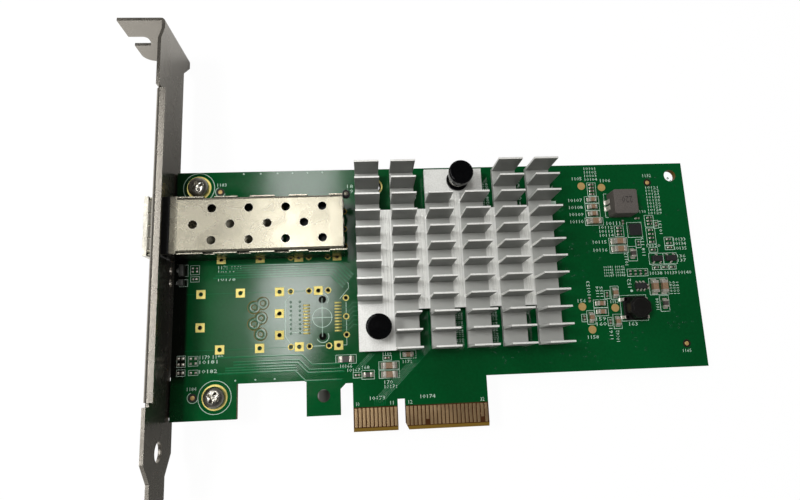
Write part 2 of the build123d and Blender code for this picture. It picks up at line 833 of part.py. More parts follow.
def make_controller():
    """The substrate, the lid and the thermal pad, stacked under the heatsink."""
    x, y = chip_centre
    half = substrate_w / 2
    substrate = block(x - half, x + half, y - half, y + half, 0, substrate_t)
    half = lid_w / 2
    lid = block(x - half, x + half, y - half, y + half, substrate_t, substrate_t + lid_t)
    lid = chamfer(lid.edges().group_by(Axis.Z)[-1], lid_edge)
    half = lid_w / 2 - lid_edge
    pad = block(x - half, x + half, y - half, y + half, substrate_t + lid_t, sink_base_bottom_z)
    return substrate, lid, pad


def make_push_pin(place):
    """A push pin: domed head, shaft, and a split barb that grips under the board."""
    head_low = sink_base_top_z + push_gap_under_head
    barb_z = -board_t - push_barb_clear
    profile = [(push_tip_d, barb_z - push_tip_l), (push_barb_d, barb_z), (push_shaft_d, barb_z),
               (push_shaft_d, head_low)]
    profile += domed_head(push_head_d, head_low, head_low + push_head_rim_h, head_low + push_head_h)
    slit = block(-push_slit_w / 2, push_slit_w / 2, -push_barb_d, push_barb_d,
                 barb_z - push_tip_l, 0)
    return Pos(place[0], place[1], 0) * (turned(profile, round_sides) - slit)


def make_push_pin_collar(place):
    return ring(place, collar_ring_d, push_shaft_d + push_play, sink_base_top_z,
                sink_base_top_z + collar_ring_t, round_sides, pad_sides)


def make_coil(place):
    """The coil spring between the collar and the head of a push pin, in short straight lengths."""
    low = sink_base_top_z + collar_ring_t + coil_wire_d / 2 + coil_clear
    high = sink_base_top_z + push_gap_under_head - coil_wire_d / 2 - coil_clear
    rise = (high - low) / (coil_turns * coil_sides)
    step = math.tau / coil_sides
    sections = []
    for index in range(coil_turns * coil_sides + 1):
        outward = (math.cos(index * step), math.sin(index * step), 0)
        along = (-outward[1] * step * coil_d / 2, outward[0] * step * coil_d / 2, rise)
        centre = (outward[0] * coil_d / 2, outward[1] * coil_d / 2, index * rise)
        at = Plane(origin=centre, x_dir=outward, z_dir=along)
        sections.append(at * Rectangle(coil_wire_d, coil_wire_d))
    return Pos(place[0], place[1], low) * loft(sections, ruled=True)


def make_chips(places, size):
    """Bodies of chip components, and the plated ends that stand out a little all round them."""
    length, width, height = size
    reach = length * chip_end_share
    inset = width / 2 - chip_end_t
    body = block(reach - length / 2, length / 2 - reach, -inset, inset,
                 chip_end_t, height - chip_end_t)
    first = block(-length / 2, reach - length / 2, -width / 2, width / 2, 0, height)
    second = block(length / 2 - reach, length / 2, -width / 2, width / 2, 0, height)
    bodies = []
    ends = []
    for x, y, turned in places:
        at = Pos(x, y, 0) * Rot(0, 0, 90 if turned else 0)
        bodies.append(at * body)
        ends += [at * first, at * second]
    return bodies, ends


def make_choke():
    """The large power inductor: a pressed body with two terminals folded up its sides."""
    x, y = choke_centre
    length, width, height = choke_size
    low = choke_foot_t
    body = block(x - length / 2, x + length / 2, y - width / 2, y + width / 2, low, low + height)
    body = chamfer(body.edges().filter_by(Axis.Z), choke_edge)
    body = chamfer(body.edges().group_by(Axis.Z)[-1], choke_edge / 2)
    feet = []
    for side in (-1, 1):
        face = x + side * length / 2
        half = choke_foot_w / 2
        wall = block(face, face + side * choke_foot_t, y - half, y + half, 0, choke_foot_h)
        sole = block(face + side * choke_foot_t, face - side * choke_foot_under,
                     y - half, y + half, 0, choke_foot_t)
        feet.append(wall + sole)
    return body, group(feet)


def octagon(width, z0, z1):
    """An eight-sided prism at the drum inductor, given by its width across flats."""
    face = RegularPolygon(width / 2, 8, major_radius=False, rotation=22.5)
    return Pos(drum_centre[0], drum_centre[1], z0) * extrude(face, amount=z1 - z0)


def make_drum():
    """The drum inductor: a square base on two feet and an eight-sided shielded core."""
    x, y = drum_centre
    half = drum_base_w / 2
    low = drum_foot_t
    base_top = low + drum_base_h
    base = block(x - half, x + half, y - half, y + half, low, base_top)
    base = chamfer(base.edges().filter_by(Axis.Z), drum_foot_l / 2)
    core_top = base_top + drum_h
    core = octagon(drum_w, base_top, core_top)
    core += octagon(drum_top_w, core_top, core_top + drum_top_h)
    feet = []
    for side in (-1, 1):
        face = x + side * half
        wide = drum_foot_w / 2
        wall = block(face, face + side * drum_foot_t, y - wide, y + wide, 0, base_top)
        sole = block(face + side * drum_foot_t, face - side * drum_foot_l, y - wide, y + wide,
                     0, drum_foot_t)
        feet.append(wall + sole)
    return base, core, group(feet)


def make_regulator():
    """The square regulator chip and the flat leads under its four sides."""
    x, y = regulator_centre
    half = regulator_w / 2
    body = block(x - half, x + half, y - half, y + half, regulator_lead_t, regulator_h)
    first = -(regulator_leads_per_side - 1) * regulator_lead_pitch / 2
    leads = []
    for quarter in range(4):
        for index in range(regulator_leads_per_side):
            along = first + index * regulator_lead_pitch
            lead = block(half - regulator_lead_l, half, along - regulator_lead_w / 2,
                         along + regulator_lead_w / 2, 0, regulator_lead_t)
            leads.append(Pos(x, y, 0) * Rot(0, 0, 90 * quarter) * lead)
    return body, group(leads)


def gull_package(centre):
    x, y = centre
    length, width, height = gull_body
    body = block(x - length / 2, x + length / 2, y - width / 2, y + width / 2,
                 gull_lead_t, height)
    return chamfer(body.edges().group_by(Axis.Z)[-1], gull_lead_t)


def gull_lead(centre, along, side):
    """A lead bent down from the side of a package to the board."""
    x = centre[0] + along
    wall = centre[1] + side * gull_body[1] / 2
    tip = centre[1] + side * gull_lead_span / 2
    bend = (wall + tip) / 2
    low = x - gull_lead_w / 2
    high = x + gull_lead_w / 2
    shoulder = block(low, high, wall, bend, gull_lead_z, gull_lead_z + gull_lead_t)
    drop = block(low, high, bend - side * gull_lead_t, bend, 0, gull_lead_z + gull_lead_t)
    foot = block(low, high, bend - side * gull_lead_t, tip, 0, gull_lead_t)
    return shoulder + drop + foot


def make_switcher():
    leads = []
    for side in (-1, 1):
        for step in (-1, 0, 1):
            leads.append(gull_lead(switcher_centre, step * gull_lead_pitch, side))
    return gull_package(switcher_centre), group(leads)


def make_transistors():
    bodies = []
    leads = []
    for index, centre in enumerate(transistor_centres):
        single = 1 if index == 0 else -1
        bodies.append(gull_package(centre))
        leads.append(gull_lead(centre, 0, single))
        leads.append(gull_lead(centre, gull_lead_pitch, -single))
        leads.append(gull_lead(centre, -gull_lead_pitch, -single))
    return group(bodies), group(leads)


def make_lights():
    """Side-looking indicator lights: a housing each, and a lens towards its hole in the bracket."""
    housings = []
    lenses = []
    for y, width in light_places:
        front = light_x - light_l / 2
        housings.append(block(front, light_x + light_l / 2, y - width / 2, y + width / 2,
                              0, light_h))
        lens = turned([(lens_d, 0), (lens_d, 2 * lens_out / 3), (lens_d / 2, lens_out)], lens_sides)
        lenses.append(Pos(front, y, light_hole_z) * Rot(0, -90, 0) * lens)
    return group(housings), group(lenses)


def build_chips(nodes):
    """Add the nodes of the capacitors, ferrite beads and resistors: bodies and ends of each kind."""
    kinds = {
        "large_capacitor": ((large_capacitors, large_chip),),
        "medium_capacitor": ((medium_capacitors, medium_chip),),
        "small_capacitor": ((small_capacitors, small_chip),),
        "bead": ((large_beads, large_chip), (medium_beads, medium_chip)),
        "small_resistor": ((small_resistors + light_resistors, small_chip),),
    }
    for kind, lots in kinds.items():
        bodies = []
        ends = []
        for places, size in lots:
            lot_bodies, lot_ends = make_chips(places, size)
            bodies += lot_bodies
            ends += lot_ends
        nodes[f"{kind}_bodies"] = group(bodies)
        nodes[f"{kind}_ends"] = group(ends)


def build_nodes():
    nodes = {
        "circuit_board": make_circuit_board(),
        "edge_contacts_front": make_edge_contacts(0, 1, front_short_contacts),
        "edge_contacts_back": make_edge_contacts(-board_t, -1, back_short_contacts),
        "cage_pin_pads": make_pin_pads(),
        "signal_ring_pads": make_signal_pads(),
        "socket_pads": make_socket_pads(),
        "mounting_rings": make_mounting_rings(),
        "test_pads": make_discs(test_pads_at, test_pad_d, pad_sides),
        "alignment_marks": make_discs(marks_at, mark_d, mark_sides),
        "mounting_bracket": make_mounting_bracket(),
        "bracket_screws": group([make_screw(place) for place in bracket_screw_places]),
        "cage_cover": make_cage_cover(),
        "cage_base": make_cage_base(),
        "cage_spring_collar": make_collar(),
        "socket_housing": make_socket_housing(),
        "socket_leads": make_socket_leads(),
        "heatsink": make_heatsink(),
        "push_pins": group([make_push_pin(place) for place in push_pin_places]),
        "push_pin_collars": group([make_push_pin_collar(place) for place in push_pin_places]),
        "push_pin_springs": group([make_coil(place) for place in push_pin_places]),
    }
    nodes["controller_substrate"], nodes["controller_lid"], nodes["thermal_pad"] = make_controller()
    nodes["power_inductor_body"], nodes["power_inductor_terminals"] = make_choke()
    drum = make_drum()
    nodes["drum_inductor_base"], nodes["drum_inductor_core"], nodes["drum_inductor_terminals"] = drum
    nodes["regulator_chip"], nodes["regulator_leads"] = make_regulator()
    nodes["switcher_chip"], nodes["switcher_leads"] = make_switcher()
    nodes["transistor_bodies"], nodes["transistor_leads"] = make_transistors()
    nodes["indicator_housings"], nodes["indicator_lenses"] = make_lights()
    build_chips(nodes)
    return nodes


os.makedirs("parts", exist_ok=True)
for name, shape in build_nodes().items():
    export_step(shape, f"parts/{name}.step")
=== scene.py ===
"""Looks of a network interface card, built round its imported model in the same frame.

The card lies with its component side up. Sizes in the classes below are millimetres in the card's
own frame: X runs from the bracket towards the board's free end, Y from the edge contacts towards
the board's top edge, and Z out of the component side, with zero on the board's component face.
"""

import json
import logging
import math
import random
from dataclasses import dataclass, field
from enum import Enum
from typing import Dict, List, Sequence, Tuple, Union

import bmesh
import bpy
from mathutils import Euler, Matrix, Vector

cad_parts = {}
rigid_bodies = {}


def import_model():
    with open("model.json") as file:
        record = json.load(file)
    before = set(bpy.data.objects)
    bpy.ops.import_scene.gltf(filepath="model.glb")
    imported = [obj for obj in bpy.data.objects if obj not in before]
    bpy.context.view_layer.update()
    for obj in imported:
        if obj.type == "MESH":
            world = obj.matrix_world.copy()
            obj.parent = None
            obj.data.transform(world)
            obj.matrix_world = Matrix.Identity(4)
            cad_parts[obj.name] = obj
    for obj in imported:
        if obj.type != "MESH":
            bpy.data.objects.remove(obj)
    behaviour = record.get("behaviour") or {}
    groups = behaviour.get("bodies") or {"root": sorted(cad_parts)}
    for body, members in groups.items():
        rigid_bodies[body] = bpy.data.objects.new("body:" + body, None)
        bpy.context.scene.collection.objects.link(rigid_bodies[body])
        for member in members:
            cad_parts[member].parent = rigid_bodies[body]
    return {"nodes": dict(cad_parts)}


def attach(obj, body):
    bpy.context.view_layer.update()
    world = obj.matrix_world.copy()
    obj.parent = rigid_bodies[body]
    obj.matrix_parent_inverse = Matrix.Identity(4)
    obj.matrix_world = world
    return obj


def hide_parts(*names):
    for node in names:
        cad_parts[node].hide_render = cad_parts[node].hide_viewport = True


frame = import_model()

MM = 0.001
ROOT = "root"
LOG = logging.getLogger("card")

Point2 = Tuple[float, float]
Point3 = Tuple[float, float, float]
Colour = Tuple[float, float, float]
Socket = bpy.types.NodeSocket
Feed = Union[Socket, float, Colour]
Piece = bpy.types.Object

MERGE = 0.0004
GRAIN_CONTRAST = 0.22
SMUDGE_SCALE = 140.0
BRUSH_SHARE = 0.5
BUMP_STRENGTH = 0.6

PORT_YS: Point2 = (28.7, 51.9)
SCREW_PLACES: Tuple[Point2, Point2] = ((-51.7, 64.3), (-46.5, 9.9))
PUSH_PLACES: Tuple[Point2, Point2] = ((16.9, 63.6), (-5.3, 25.3))


def display(red: int, green: int, blue: int) -> Colour:
    """Turn a display colour, 0 to 255 a channel, into the linear colour that shaders take.

    Args:
        red: red channel.
        green: green channel.
        blue: blue channel.

    Returns:
        The same colour as three linear values from 0 to 1.
    """
    shares = [channel / 255 for channel in (red, green, blue)]
    return tuple(s / 12.92 if s <= 0.04045 else ((s + 0.055) / 1.055) ** 2.4 for s in shares)


class Wiring:
    """A node tree being wired, with short calls for the nodes that the finishes use."""

    def __init__(self, tree: bpy.types.NodeTree) -> None:
        """Start on an empty tree."""
        self.tree = tree
        tree.nodes.clear()

    def node(self, kind: str, **settings: object) -> bpy.types.Node:
        """Add a node and set its properties.

        Args:
            kind: Blender's name of the node type.
            settings: property values by name.

        Returns:
            The new node.
        """
        made = self.tree.nodes.new(kind)
        for key, value in settings.items():
            setattr(made, key, value)
        return made

    def feed(self, into: Socket, value: Feed) -> None:
        """Give an input socket a link, a number or a colour."""
        if isinstance(value, bpy.types.NodeSocket):
            self.tree.links.new(value, into)
        elif isinstance(value, tuple) and len(value) == 3 and into.type == "RGBA":
            into.default_value = (*value, 1.0)
        else:
            into.default_value = value

    def maths(self, operation: str, first: Feed, second: Feed = 0.0, clamp: bool = False) -> Socket:
        """Add a Math node.

        Args:
            operation: the node's operation.
            first: its first value.
            second: its second value, if the operation has one.
            clamp: whether the result is kept from 0 to 1.

        Returns:
            The result's socket.
        """
        made = self.node("ShaderNodeMath", operation=operation, use_clamp=clamp)
        self.feed(made.inputs[0], first)
        self.feed(made.inputs[1], second)
        return made.outputs[0]

    def spread(self, value: Feed, low: float, high: float, start: float, end: float) -> Socket:
        """Map a value from one range to another, kept inside it.

        Args:
            value: what is mapped.
            low: bottom of the old range.
            high: top of the old range.
            start: bottom of the new range.
            end: top of the new range.

        Returns:
            The mapped value's socket.
        """
        made = self.node("ShaderNodeMapRange")
        for index, part in enumerate((value, low, high, start, end)):
            self.feed(made.inputs[index], part)
        return made.outputs[0]

    def blend(self, share: Feed, start: Feed, end: Feed) -> Socket:
        """Mix two colours.

        Args:
            share: how much of the second colour is taken.
            start: first colour.
            end: second colour.

        Returns:
            The mixed colour's socket.
        """
        made = self.node("ShaderNodeMix", data_type="RGBA")
        self.feed(made.inputs["Factor"], share)
        self.feed(made.inputs[6], start)
        self.feed(made.inputs[7], end)
        return made.outputs[2]

    def product(self, *values: Feed) -> Socket:
        """Multiply values with each other."""
        total = values[0]
        for value in values[1:]:
            total = self.maths("MULTIPLY", total, value)
        return total

    def mixed(self, share: Feed, first: Socket, second: Socket) -> Socket:
        """Mix two shaders by the share of the second."""
        made = self.node("ShaderNodeMixShader")
        for index, part in enumerate((share, first, second)):
            self.feed(made.inputs[index], part)
        return made.outputs[0]

    def place(self) -> Socket:
        """Return the socket of the object coordinates."""
        return self.node("ShaderNodeTexCoord").outputs["Object"]

    def axes(self, vector: Socket) -> Sequence[Socket]:
        """Return the X, Y and Z sockets of a vector."""
        made = self.node("ShaderNodeSeparateXYZ")
        self.feed(made.inputs[0], vector)
        return made.outputs

    def facing(self) -> Sequence[Socket]:
        """Return X, Y and Z of the way that the surface faces."""
        return self.axes(self.node("ShaderNodeTexCoord").outputs["Normal"])

    def noise(self, vector: Socket, scale: Feed, detail: float = 2.0,
              distortion: float = 0.0) -> Socket:
        """Add noise.

        Args:
            vector: the coordinates that it is read at.
            scale: how fine it is.
            detail: how many finer layers it has.
            distortion: how far it is drawn out of shape.

        Returns:
            The socket of its value.
        """
        made = self.node("ShaderNodeTexNoise")
        for key, value in (("Vector", vector), ("Scale", scale), ("Detail", detail),
                           ("Distortion", distortion)):
            self.feed(made.inputs[key], value)
        return made.outputs[0]

    def effect(self, group: bpy.types.NodeTree, **values: Feed) -> bpy.types.Node:
        """Place a shared effect.

        Args:
            group: the effect's node group.
            values: its inputs by name.

        Returns:
            The group's node.
        """
        made = self.node("ShaderNodeGroup", node_tree=group)
        for key, value in values.items():
            self.feed(made.inputs[key], value)
        return made


class Effects:
    """Shared surface effects, each a node group that is built once."""

    def __init__(self) -> None:
        """Build every group."""
        self.grain = self._grain()
        self.lines = self._lines()
        self.smudges = self._smudges()
        self.wear = self._wear()
        self.weave = self._weave()

    @staticmethod
    def _start(name: str, inputs: Dict[str, Tuple[str, object]],
               outputs: Sequence[str]) -> Tuple[Wiring, bpy.types.Node, bpy.types.Node]:
        """Make a group with its named sockets.

        Args:
            name: the group's name.
            inputs: socket type and default by input name.
            outputs: names of the value outputs.

        Returns:
            The wiring, the input node and the output node.
        """
        tree = bpy.data.node_groups.new(name, "ShaderNodeTree")
        for key, (kind, default) in inputs.items():
            tree.interface.new_socket(key, in_out="INPUT", socket_type=kind).default_value = default
        for key in outputs:
            tree.interface.new_socket(key, in_out="OUTPUT", socket_type="NodeSocketFloat")
        wiring = Wiring(tree)
        return wiring, wiring.node("NodeGroupInput"), wiring.node("NodeGroupOutput")

    def _grain(self) -> bpy.types.NodeTree:
        """Build the fine even grain of blasted metal, moulded plastic and solder mask."""
        wiring, given, result = self._start(
            "fine_grain",
            {"Scale": ("NodeSocketFloat", 2000.0), "Contrast": ("NodeSocketFloat", 0.3)},
            ("Mask", "Height"))
        noise = wiring.noise(wiring.place(), given.outputs["Scale"], 3.0)
        low = wiring.maths("SUBTRACT", 0.5, given.outputs["Contrast"])
        high = wiring.maths("ADD", 0.5, given.outputs["Contrast"])
        wiring.feed(result.inputs["Mask"], wiring.spread(noise, low, high, 0.0, 1.0))
        wiring.feed(result.inputs["Height"], noise)
        return wiring.tree

    def _lines(self) -> bpy.types.NodeTree:
        """Build drawn-out brushing or milling lines; Stretch is small along the lines."""
        wiring, given, result = self._start(
            "brush_lines", {"Stretch": ("NodeSocketVector", (1.0, 1.0, 1.0))}, ("Mask", "Height"))
        mapping = wiring.node("ShaderNodeMapping")
        wiring.feed(mapping.inputs["Vector"], wiring.place())
        wiring.feed(mapping.inputs["Scale"], given.outputs["Stretch"])
        noise = wiring.noise(mapping.outputs[0], 1.0, 4.0)
        wiring.feed(result.inputs["Mask"], wiring.spread(noise, 0.3, 0.7, 0.0, 1.0))
        wiring.feed(result.inputs["Height"], noise)
        return wiring.tree

    def _smudges(self) -> bpy.types.NodeTree:
        """Build soft uneven patches, as handling leaves them."""
        wiring, given, result = self._start(
            "smudges", {"Scale": ("NodeSocketFloat", 120.0)}, ("Mask",))
        noise = wiring.noise(wiring.place(), given.outputs["Scale"], 5.0, 0.6)
        wiring.feed(result.inputs["Mask"], wiring.spread(noise, 0.35, 0.65, 0.0, 1.0))
        return wiring.tree

    def _wear(self) -> bpy.types.NodeTree:
        """Build rubbed edges: the turn of the surface within Reach, broken up by noise."""
        wiring, given, result = self._start(
            "edge_wear",
            {"Reach": ("NodeSocketFloat", 0.0002), "Break": ("NodeSocketFloat", 3000.0)},
            ("Mask",))
        rounded = wiring.node("ShaderNodeBevel", samples=4)
        wiring.feed(rounded.inputs["Radius"], given.outputs["Reach"])
        likeness = wiring.node("ShaderNodeVectorMath", operation="DOT_PRODUCT")
        wiring.feed(likeness.inputs[0], rounded.outputs[0])
        wiring.feed(likeness.inputs[1], wiring.node("ShaderNodeNewGeometry").outputs["Normal"])
        turn = wiring.spread(likeness.outputs["Value"], 0.995, 0.8, 0.0, 1.0)
        noise = wiring.noise(wiring.place(), given.outputs["Break"])
        rubbed = wiring.spread(noise, 0.3, 0.6, 0.3, 1.0)
        wiring.feed(result.inputs["Mask"], wiring.maths("MULTIPLY", turn, rubbed, clamp=True))
        return wiring.tree

    def _weave(self) -> bpy.types.NodeTree:
        """Build the glass weave that shows faintly through solder mask."""
        wiring, given, result = self._start(
            "glass_weave", {"Pitch": ("NodeSocketFloat", 0.0005)}, ("Height",))
        parts = wiring.axes(wiring.place())
        turns = wiring.maths("DIVIDE", math.tau, given.outputs["Pitch"])
        waves = [wiring.maths("SINE", wiring.product(part, turns)) for part in (parts[0], parts[1])]
        wiring.feed(result.inputs["Height"],
                    wiring.spread(wiring.product(*waves), -1.0, 1.0, 0.0, 1.0))
        return wiring.tree


EFFECTS = Effects()


class Brush(Enum):
    """How brushing or milling lines run, as the stretch of their noise per metre."""

    NONE = (0.0, 0.0, 0.0)
    ALONG_Y = (2600.0, 60.0, 2600.0)
    MILLED = (5200.0, 40.0, 40.0)


@dataclass(frozen=True)
class Finish:
    """A surface finish: two colours that its grain mixes, its gloss, relief and edge wear.

    Scale is the grain's per metre, lift the relief's height in millimetres, and edge_mm how far
    from an edge the wear reaches.
    """

    name: str
    slot: str
    deep: Colour
    pale: Colour
    metallic: float = 0.0
    smooth: float = 0.3
    rough: float = 0.5
    scale: float = 2500.0
    lift: float = 0.01
    brush: Brush = Brush.NONE
    edge_mm: float = 0.0
    edge: Colour = (0.9, 0.9, 0.9)
    shine: float = 0.5

    def colour(self, wiring: Wiring, grain: Socket) -> Feed:
        """Return the base colour: the two shades mixed by the grain."""
        return wiring.blend(grain, self.deep, self.pale)

    def height(self, wiring: Wiring, grain: bpy.types.Node) -> Socket:
        """Return the relief's height, 0 to 1."""
        if self.brush is Brush.NONE:
            return grain.outputs["Height"]
        lines = wiring.effect(EFFECTS.lines, Stretch=self.brush.value)
        return wiring.maths("ADD", grain.outputs["Height"], lines.outputs["Height"])

    def material(self) -> bpy.types.Material:
        """Return the Blender material of this finish, which is made once.

        Returns:
            The material, wired from the shared effects.
        """
        name = "shown_" + self.name
        found = bpy.data.materials.get(name)
        if found is not None:
            return found
        made = bpy.data.materials.new(name)
        made.use_nodes = True
        wiring = Wiring(made.node_tree)
        shader = wiring.node("ShaderNodeBsdfPrincipled")
        output = wiring.node("ShaderNodeOutputMaterial")
        wiring.feed(output.inputs["Surface"], shader.outputs[0])
        grain = wiring.effect(EFFECTS.grain, Scale=self.scale, Contrast=GRAIN_CONTRAST)
        smudges = wiring.effect(EFFECTS.smudges, Scale=SMUDGE_SCALE)
        colour = self.colour(wiring, grain.outputs["Mask"])
        gloss = wiring.spread(smudges.outputs["Mask"], 0.0, 1.0, self.smooth, self.rough)
        if self.brush is not Brush.NONE:
            lines = wiring.effect(EFFECTS.lines, Stretch=self.brush.value)
            streaks = wiring.product(lines.outputs["Mask"], BRUSH_SHARE)
            colour = wiring.blend(streaks, colour, self.deep)
        if self.edge_mm > 0:
            wear = wiring.effect(EFFECTS.wear, Reach=self.edge_mm * MM)
            colour = wiring.blend(wear.outputs["Mask"], colour, self.edge)
        wiring.feed(shader.inputs["Base Color"], colour)
        wiring.feed(shader.inputs["Roughness"], gloss)
        shader.inputs["Metallic"].default_value = self.metallic
        shader.inputs["Specular IOR Level"].default_value = self.shine
        bump = wiring.node("ShaderNodeBump")
        bump.inputs["Strength"].default_value = BUMP_STRENGTH
        bump.inputs["Distance"].default_value = self.lift * MM
        wiring.feed(bump.inputs["Height"], self.height(wiring, grain))
        wiring.feed(shader.inputs["Normal"], bump.outputs[0])
        self.finish_shader(shader)
        return made

    def finish_shader(self, shader: bpy.types.Node) -> None:
        """Set what only some finishes need on the shader; plain finishes need nothing."""


@dataclass(frozen=True)
class BoardFinish(Finish):
    """Solder mask, with bare laminate at cut edges and between the edge contacts.

    The strip beside the bracket is painted in shade: full within shaded_full of the line shaded_y,
    and half as deep from shaded_half on. Lengths are in millimetres.
    """

    cut_edge: Colour = display(108, 84, 28)
    cut_turn: float = 0.985
    foot: Colour = display(62, 36, 18)
    bare_left: float = -13.0
    bare_right: float = 22.6
    bare_top: float = 5.95
    # Painted shade for the strip beside the bracket, placed by the sizes below.
    shaded: Colour = display(8, 13, 8)
    shaded_x: float = -53.9
    shaded_blur: float = 0.4
    shaded_y: float = 30.0
    shaded_full: float = 14.5
    shaded_half: float = 17.0
    patch_scale: float = 26.0
    patch_share: float = 0.65
    weave_pitch: float = 0.6
    weave_grain: float = 0.4

    def colour(self, wiring: Wiring, grain: Socket) -> Feed:
        """Mix the mask's greens, paint the shade beside the bracket, then lay bare laminate where
        the mask isn't.

        Args:
            wiring: the material's wiring.
            grain: the grain mask.

        Returns:
            The colour's socket.
        """
        patches = wiring.effect(EFFECTS.smudges, Scale=self.patch_scale)
        share = wiring.maths("ADD", wiring.product(grain, 1 - self.patch_share),
                             wiring.product(patches.outputs["Mask"], self.patch_share))
        x, y, _ = wiring.axes(wiring.place())
        foot = wiring.product(wiring.maths("GREATER_THAN", x, self.bare_left * MM),
                              wiring.maths("LESS_THAN", x, self.bare_right * MM),
                              wiring.maths("LESS_THAN", y, self.bare_top * MM))
        # Painted shade: the strip beside the bracket, darkest round the middle of its run.
        strip = wiring.spread(x, (self.shaded_x - self.shaded_blur) * MM,
                              (self.shaded_x + self.shaded_blur) * MM, 1.0, 0.0)
        away = wiring.maths("ABSOLUTE", wiring.maths("SUBTRACT", y, self.shaded_y * MM))
        depth = wiring.spread(away, self.shaded_full * MM, self.shaded_half * MM, 1.0, 0.5)
        mask = wiring.blend(foot, wiring.blend(share, self.deep, self.pale), self.foot)
        top = wiring.blend(wiring.product(strip, depth), mask, self.shaded)
        cut_away = wiring.maths("LESS_THAN", wiring.maths("ABSOLUTE", wiring.facing()[2]),
                                self.cut_turn)
        return wiring.blend(cut_away, top, self.cut_edge)

    def height(self, wiring: Wiring, grain: bpy.types.Node) -> Socket:
        """Return the relief of the weave under the mask, with a little grain."""
        weave = wiring.effect(EFFECTS.weave, Pitch=self.weave_pitch * MM)
        soft = wiring.product(grain.outputs["Height"], self.weave_grain)
        return wiring.maths("ADD", weave.outputs["Height"], soft)


@dataclass(frozen=True)
class SidedFinish(Finish):
    """Plated sheet with painted shade on its standing faces that look towards the edge contacts."""

    # Painted shade of the faces that look towards the edge contacts.
    side: Colour = display(34, 33, 30)
    shade_from: float = 0.75
    shade_to: float = 0.98

    def colour(self, wiring: Wiring, grain: Socket) -> Feed:
        """Return the plating's shades, with painted shade on the standing faces that look towards
        the edge contacts.
        """
        # Painted shade on the faces that look towards the edge contacts.
        turned = wiring.product(wiring.facing()[1], -1.0)
        across = wiring.spread(turned, self.shade_from, self.shade_to, 0.0, 1.0)
        return wiring.blend(across, super().colour(wiring, grain), self.side)


@dataclass(frozen=True)
class AlloyFinish(Finish):
    """Blasted alloy: bright where it faces up, painted shade down the fins and between them, with
    milled valleys between the columns.

    The sizes, in millimetres, say where the fins stand and where there are none.
    """

    # Painted shade of the fins' standing faces.
    side: Colour = display(146, 147, 144)
    valley: Colour = display(252, 252, 248)
    # Painted shade of the floor between the fins.
    between_fin_shade: Colour = display(186, 187, 182)
    first_x: float = -10.25
    pitch: float = 9.18
    fin_width: float = 6.2
    floor_top: float = 4.7
    bare_corner: Point2 = (-3.2, 31.4)
    bare_middle_x: float = 16.0
    bare_half: float = 9.0
    bare_low_y: float = 60.2

    def colour(self, wiring: Wiring, grain: Socket) -> Feed:
        """Mix the blasted shades, the painted shade of the fins' sides and of the floor between
        them, and the milled valleys.

        Args:
            wiring: the material's wiring.
            grain: the grain mask.

        Returns:
            The colour's socket.
        """
        x, y, z = wiring.axes(wiring.place())
        along = wiring.maths("SUBTRACT", x, self.first_x * MM)
        steps = wiring.maths("DIVIDE", along, self.pitch * MM)
        between = wiring.maths("GREATER_THAN", wiring.maths("FRACT", steps),
                               self.fin_width / self.pitch)
        low = wiring.maths("LESS_THAN", z, self.floor_top * MM)
        floor = wiring.product(low, wiring.maths("SUBTRACT", 1.0, self.bare(wiring, x, y)))
        lines = wiring.effect(EFFECTS.lines, Stretch=Brush.MILLED.value)
        milled = wiring.blend(lines.outputs["Mask"], self.deep, self.valley)
        # Painted shade on the floor between the fins, kept off the bare places.
        floor_shaded = wiring.blend(floor, wiring.blend(grain, self.deep, self.pale), self.between_fin_shade)
        topped = wiring.blend(wiring.product(between, low), floor_shaded, milled)
        # Painted shade on the faces that stand across Y.
        standing = wiring.maths("ABSOLUTE", wiring.facing()[1])
        return wiring.blend(wiring.spread(standing, 0.3, 0.8, 0.0, 1.0), topped, self.side)

    def bare(self, wiring: Wiring, x: Socket, y: Socket) -> Socket:
        """Return 1 in the two places round the push pins that have no fins.

        Args:
            wiring: the material's wiring.
            x: the surface's X.
            y: its Y.

        Returns:
            The mask's socket.
        """
        corner = wiring.product(wiring.maths("LESS_THAN", x, self.bare_corner[0] * MM),
                                wiring.maths("LESS_THAN", y, self.bare_corner[1] * MM))
        reach = wiring.maths("ABSOLUTE", wiring.maths("SUBTRACT", x, self.bare_middle_x * MM))
        block = wiring.product(wiring.maths("LESS_THAN", reach, self.bare_half * MM),
                               wiring.maths("GREATER_THAN", y, self.bare_low_y * MM))
        return wiring.maths("MAXIMUM", corner, block)


@dataclass(frozen=True)
class LensFinish(Finish):
    """Clear moulded resin."""

    def finish_shader(self, shader: bpy.types.Node) -> None:
        """Let light through the resin."""
        shader.inputs["Transmission Weight"].default_value = 0.85
        shader.inputs["IOR"].default_value = 1.5


MASK = BoardFinish("solder_mask", "board_green", display(0, 58, 24), display(0, 76, 34),
                   smooth=0.08, rough=0.13, scale=1400.0, lift=0.004)
COPPER = Finish("mask_over_copper", "board_green", display(3, 80, 42), display(10, 98, 54),
                smooth=0.08, rough=0.14, scale=1400.0, lift=0.004)
TENTED = Finish("tented_holes", "board_green", display(1, 52, 26), display(6, 76, 40),
                smooth=0.13, rough=0.2, scale=1400.0, lift=0.004)
PRINT = Finish("white_print", "light_white", display(158, 186, 168), display(196, 216, 204),
               smooth=0.5, rough=0.65, scale=5200.0, lift=0.006)
CONTACT = Finish("contact_gold", "contact_gold", display(184, 154, 114), display(212, 182, 140),
                 metallic=0.9, smooth=0.28, rough=0.44, scale=4200.0, lift=0.003,
                 brush=Brush.ALONG_Y, edge_mm=0.08, edge=display(222, 194, 152))
COLLAR = Finish("collar_plating", "cage_steel", display(170, 166, 154), display(208, 204, 192),
                metallic=1.0, smooth=0.24, rough=0.38, scale=1900.0, lift=0.005)
TAN_PAD = Finish("flat_pad_gold", "pad_gold", display(196, 160, 98), display(220, 186, 124),
                 metallic=0.55, smooth=0.36, rough=0.5, scale=3600.0, lift=0.004)
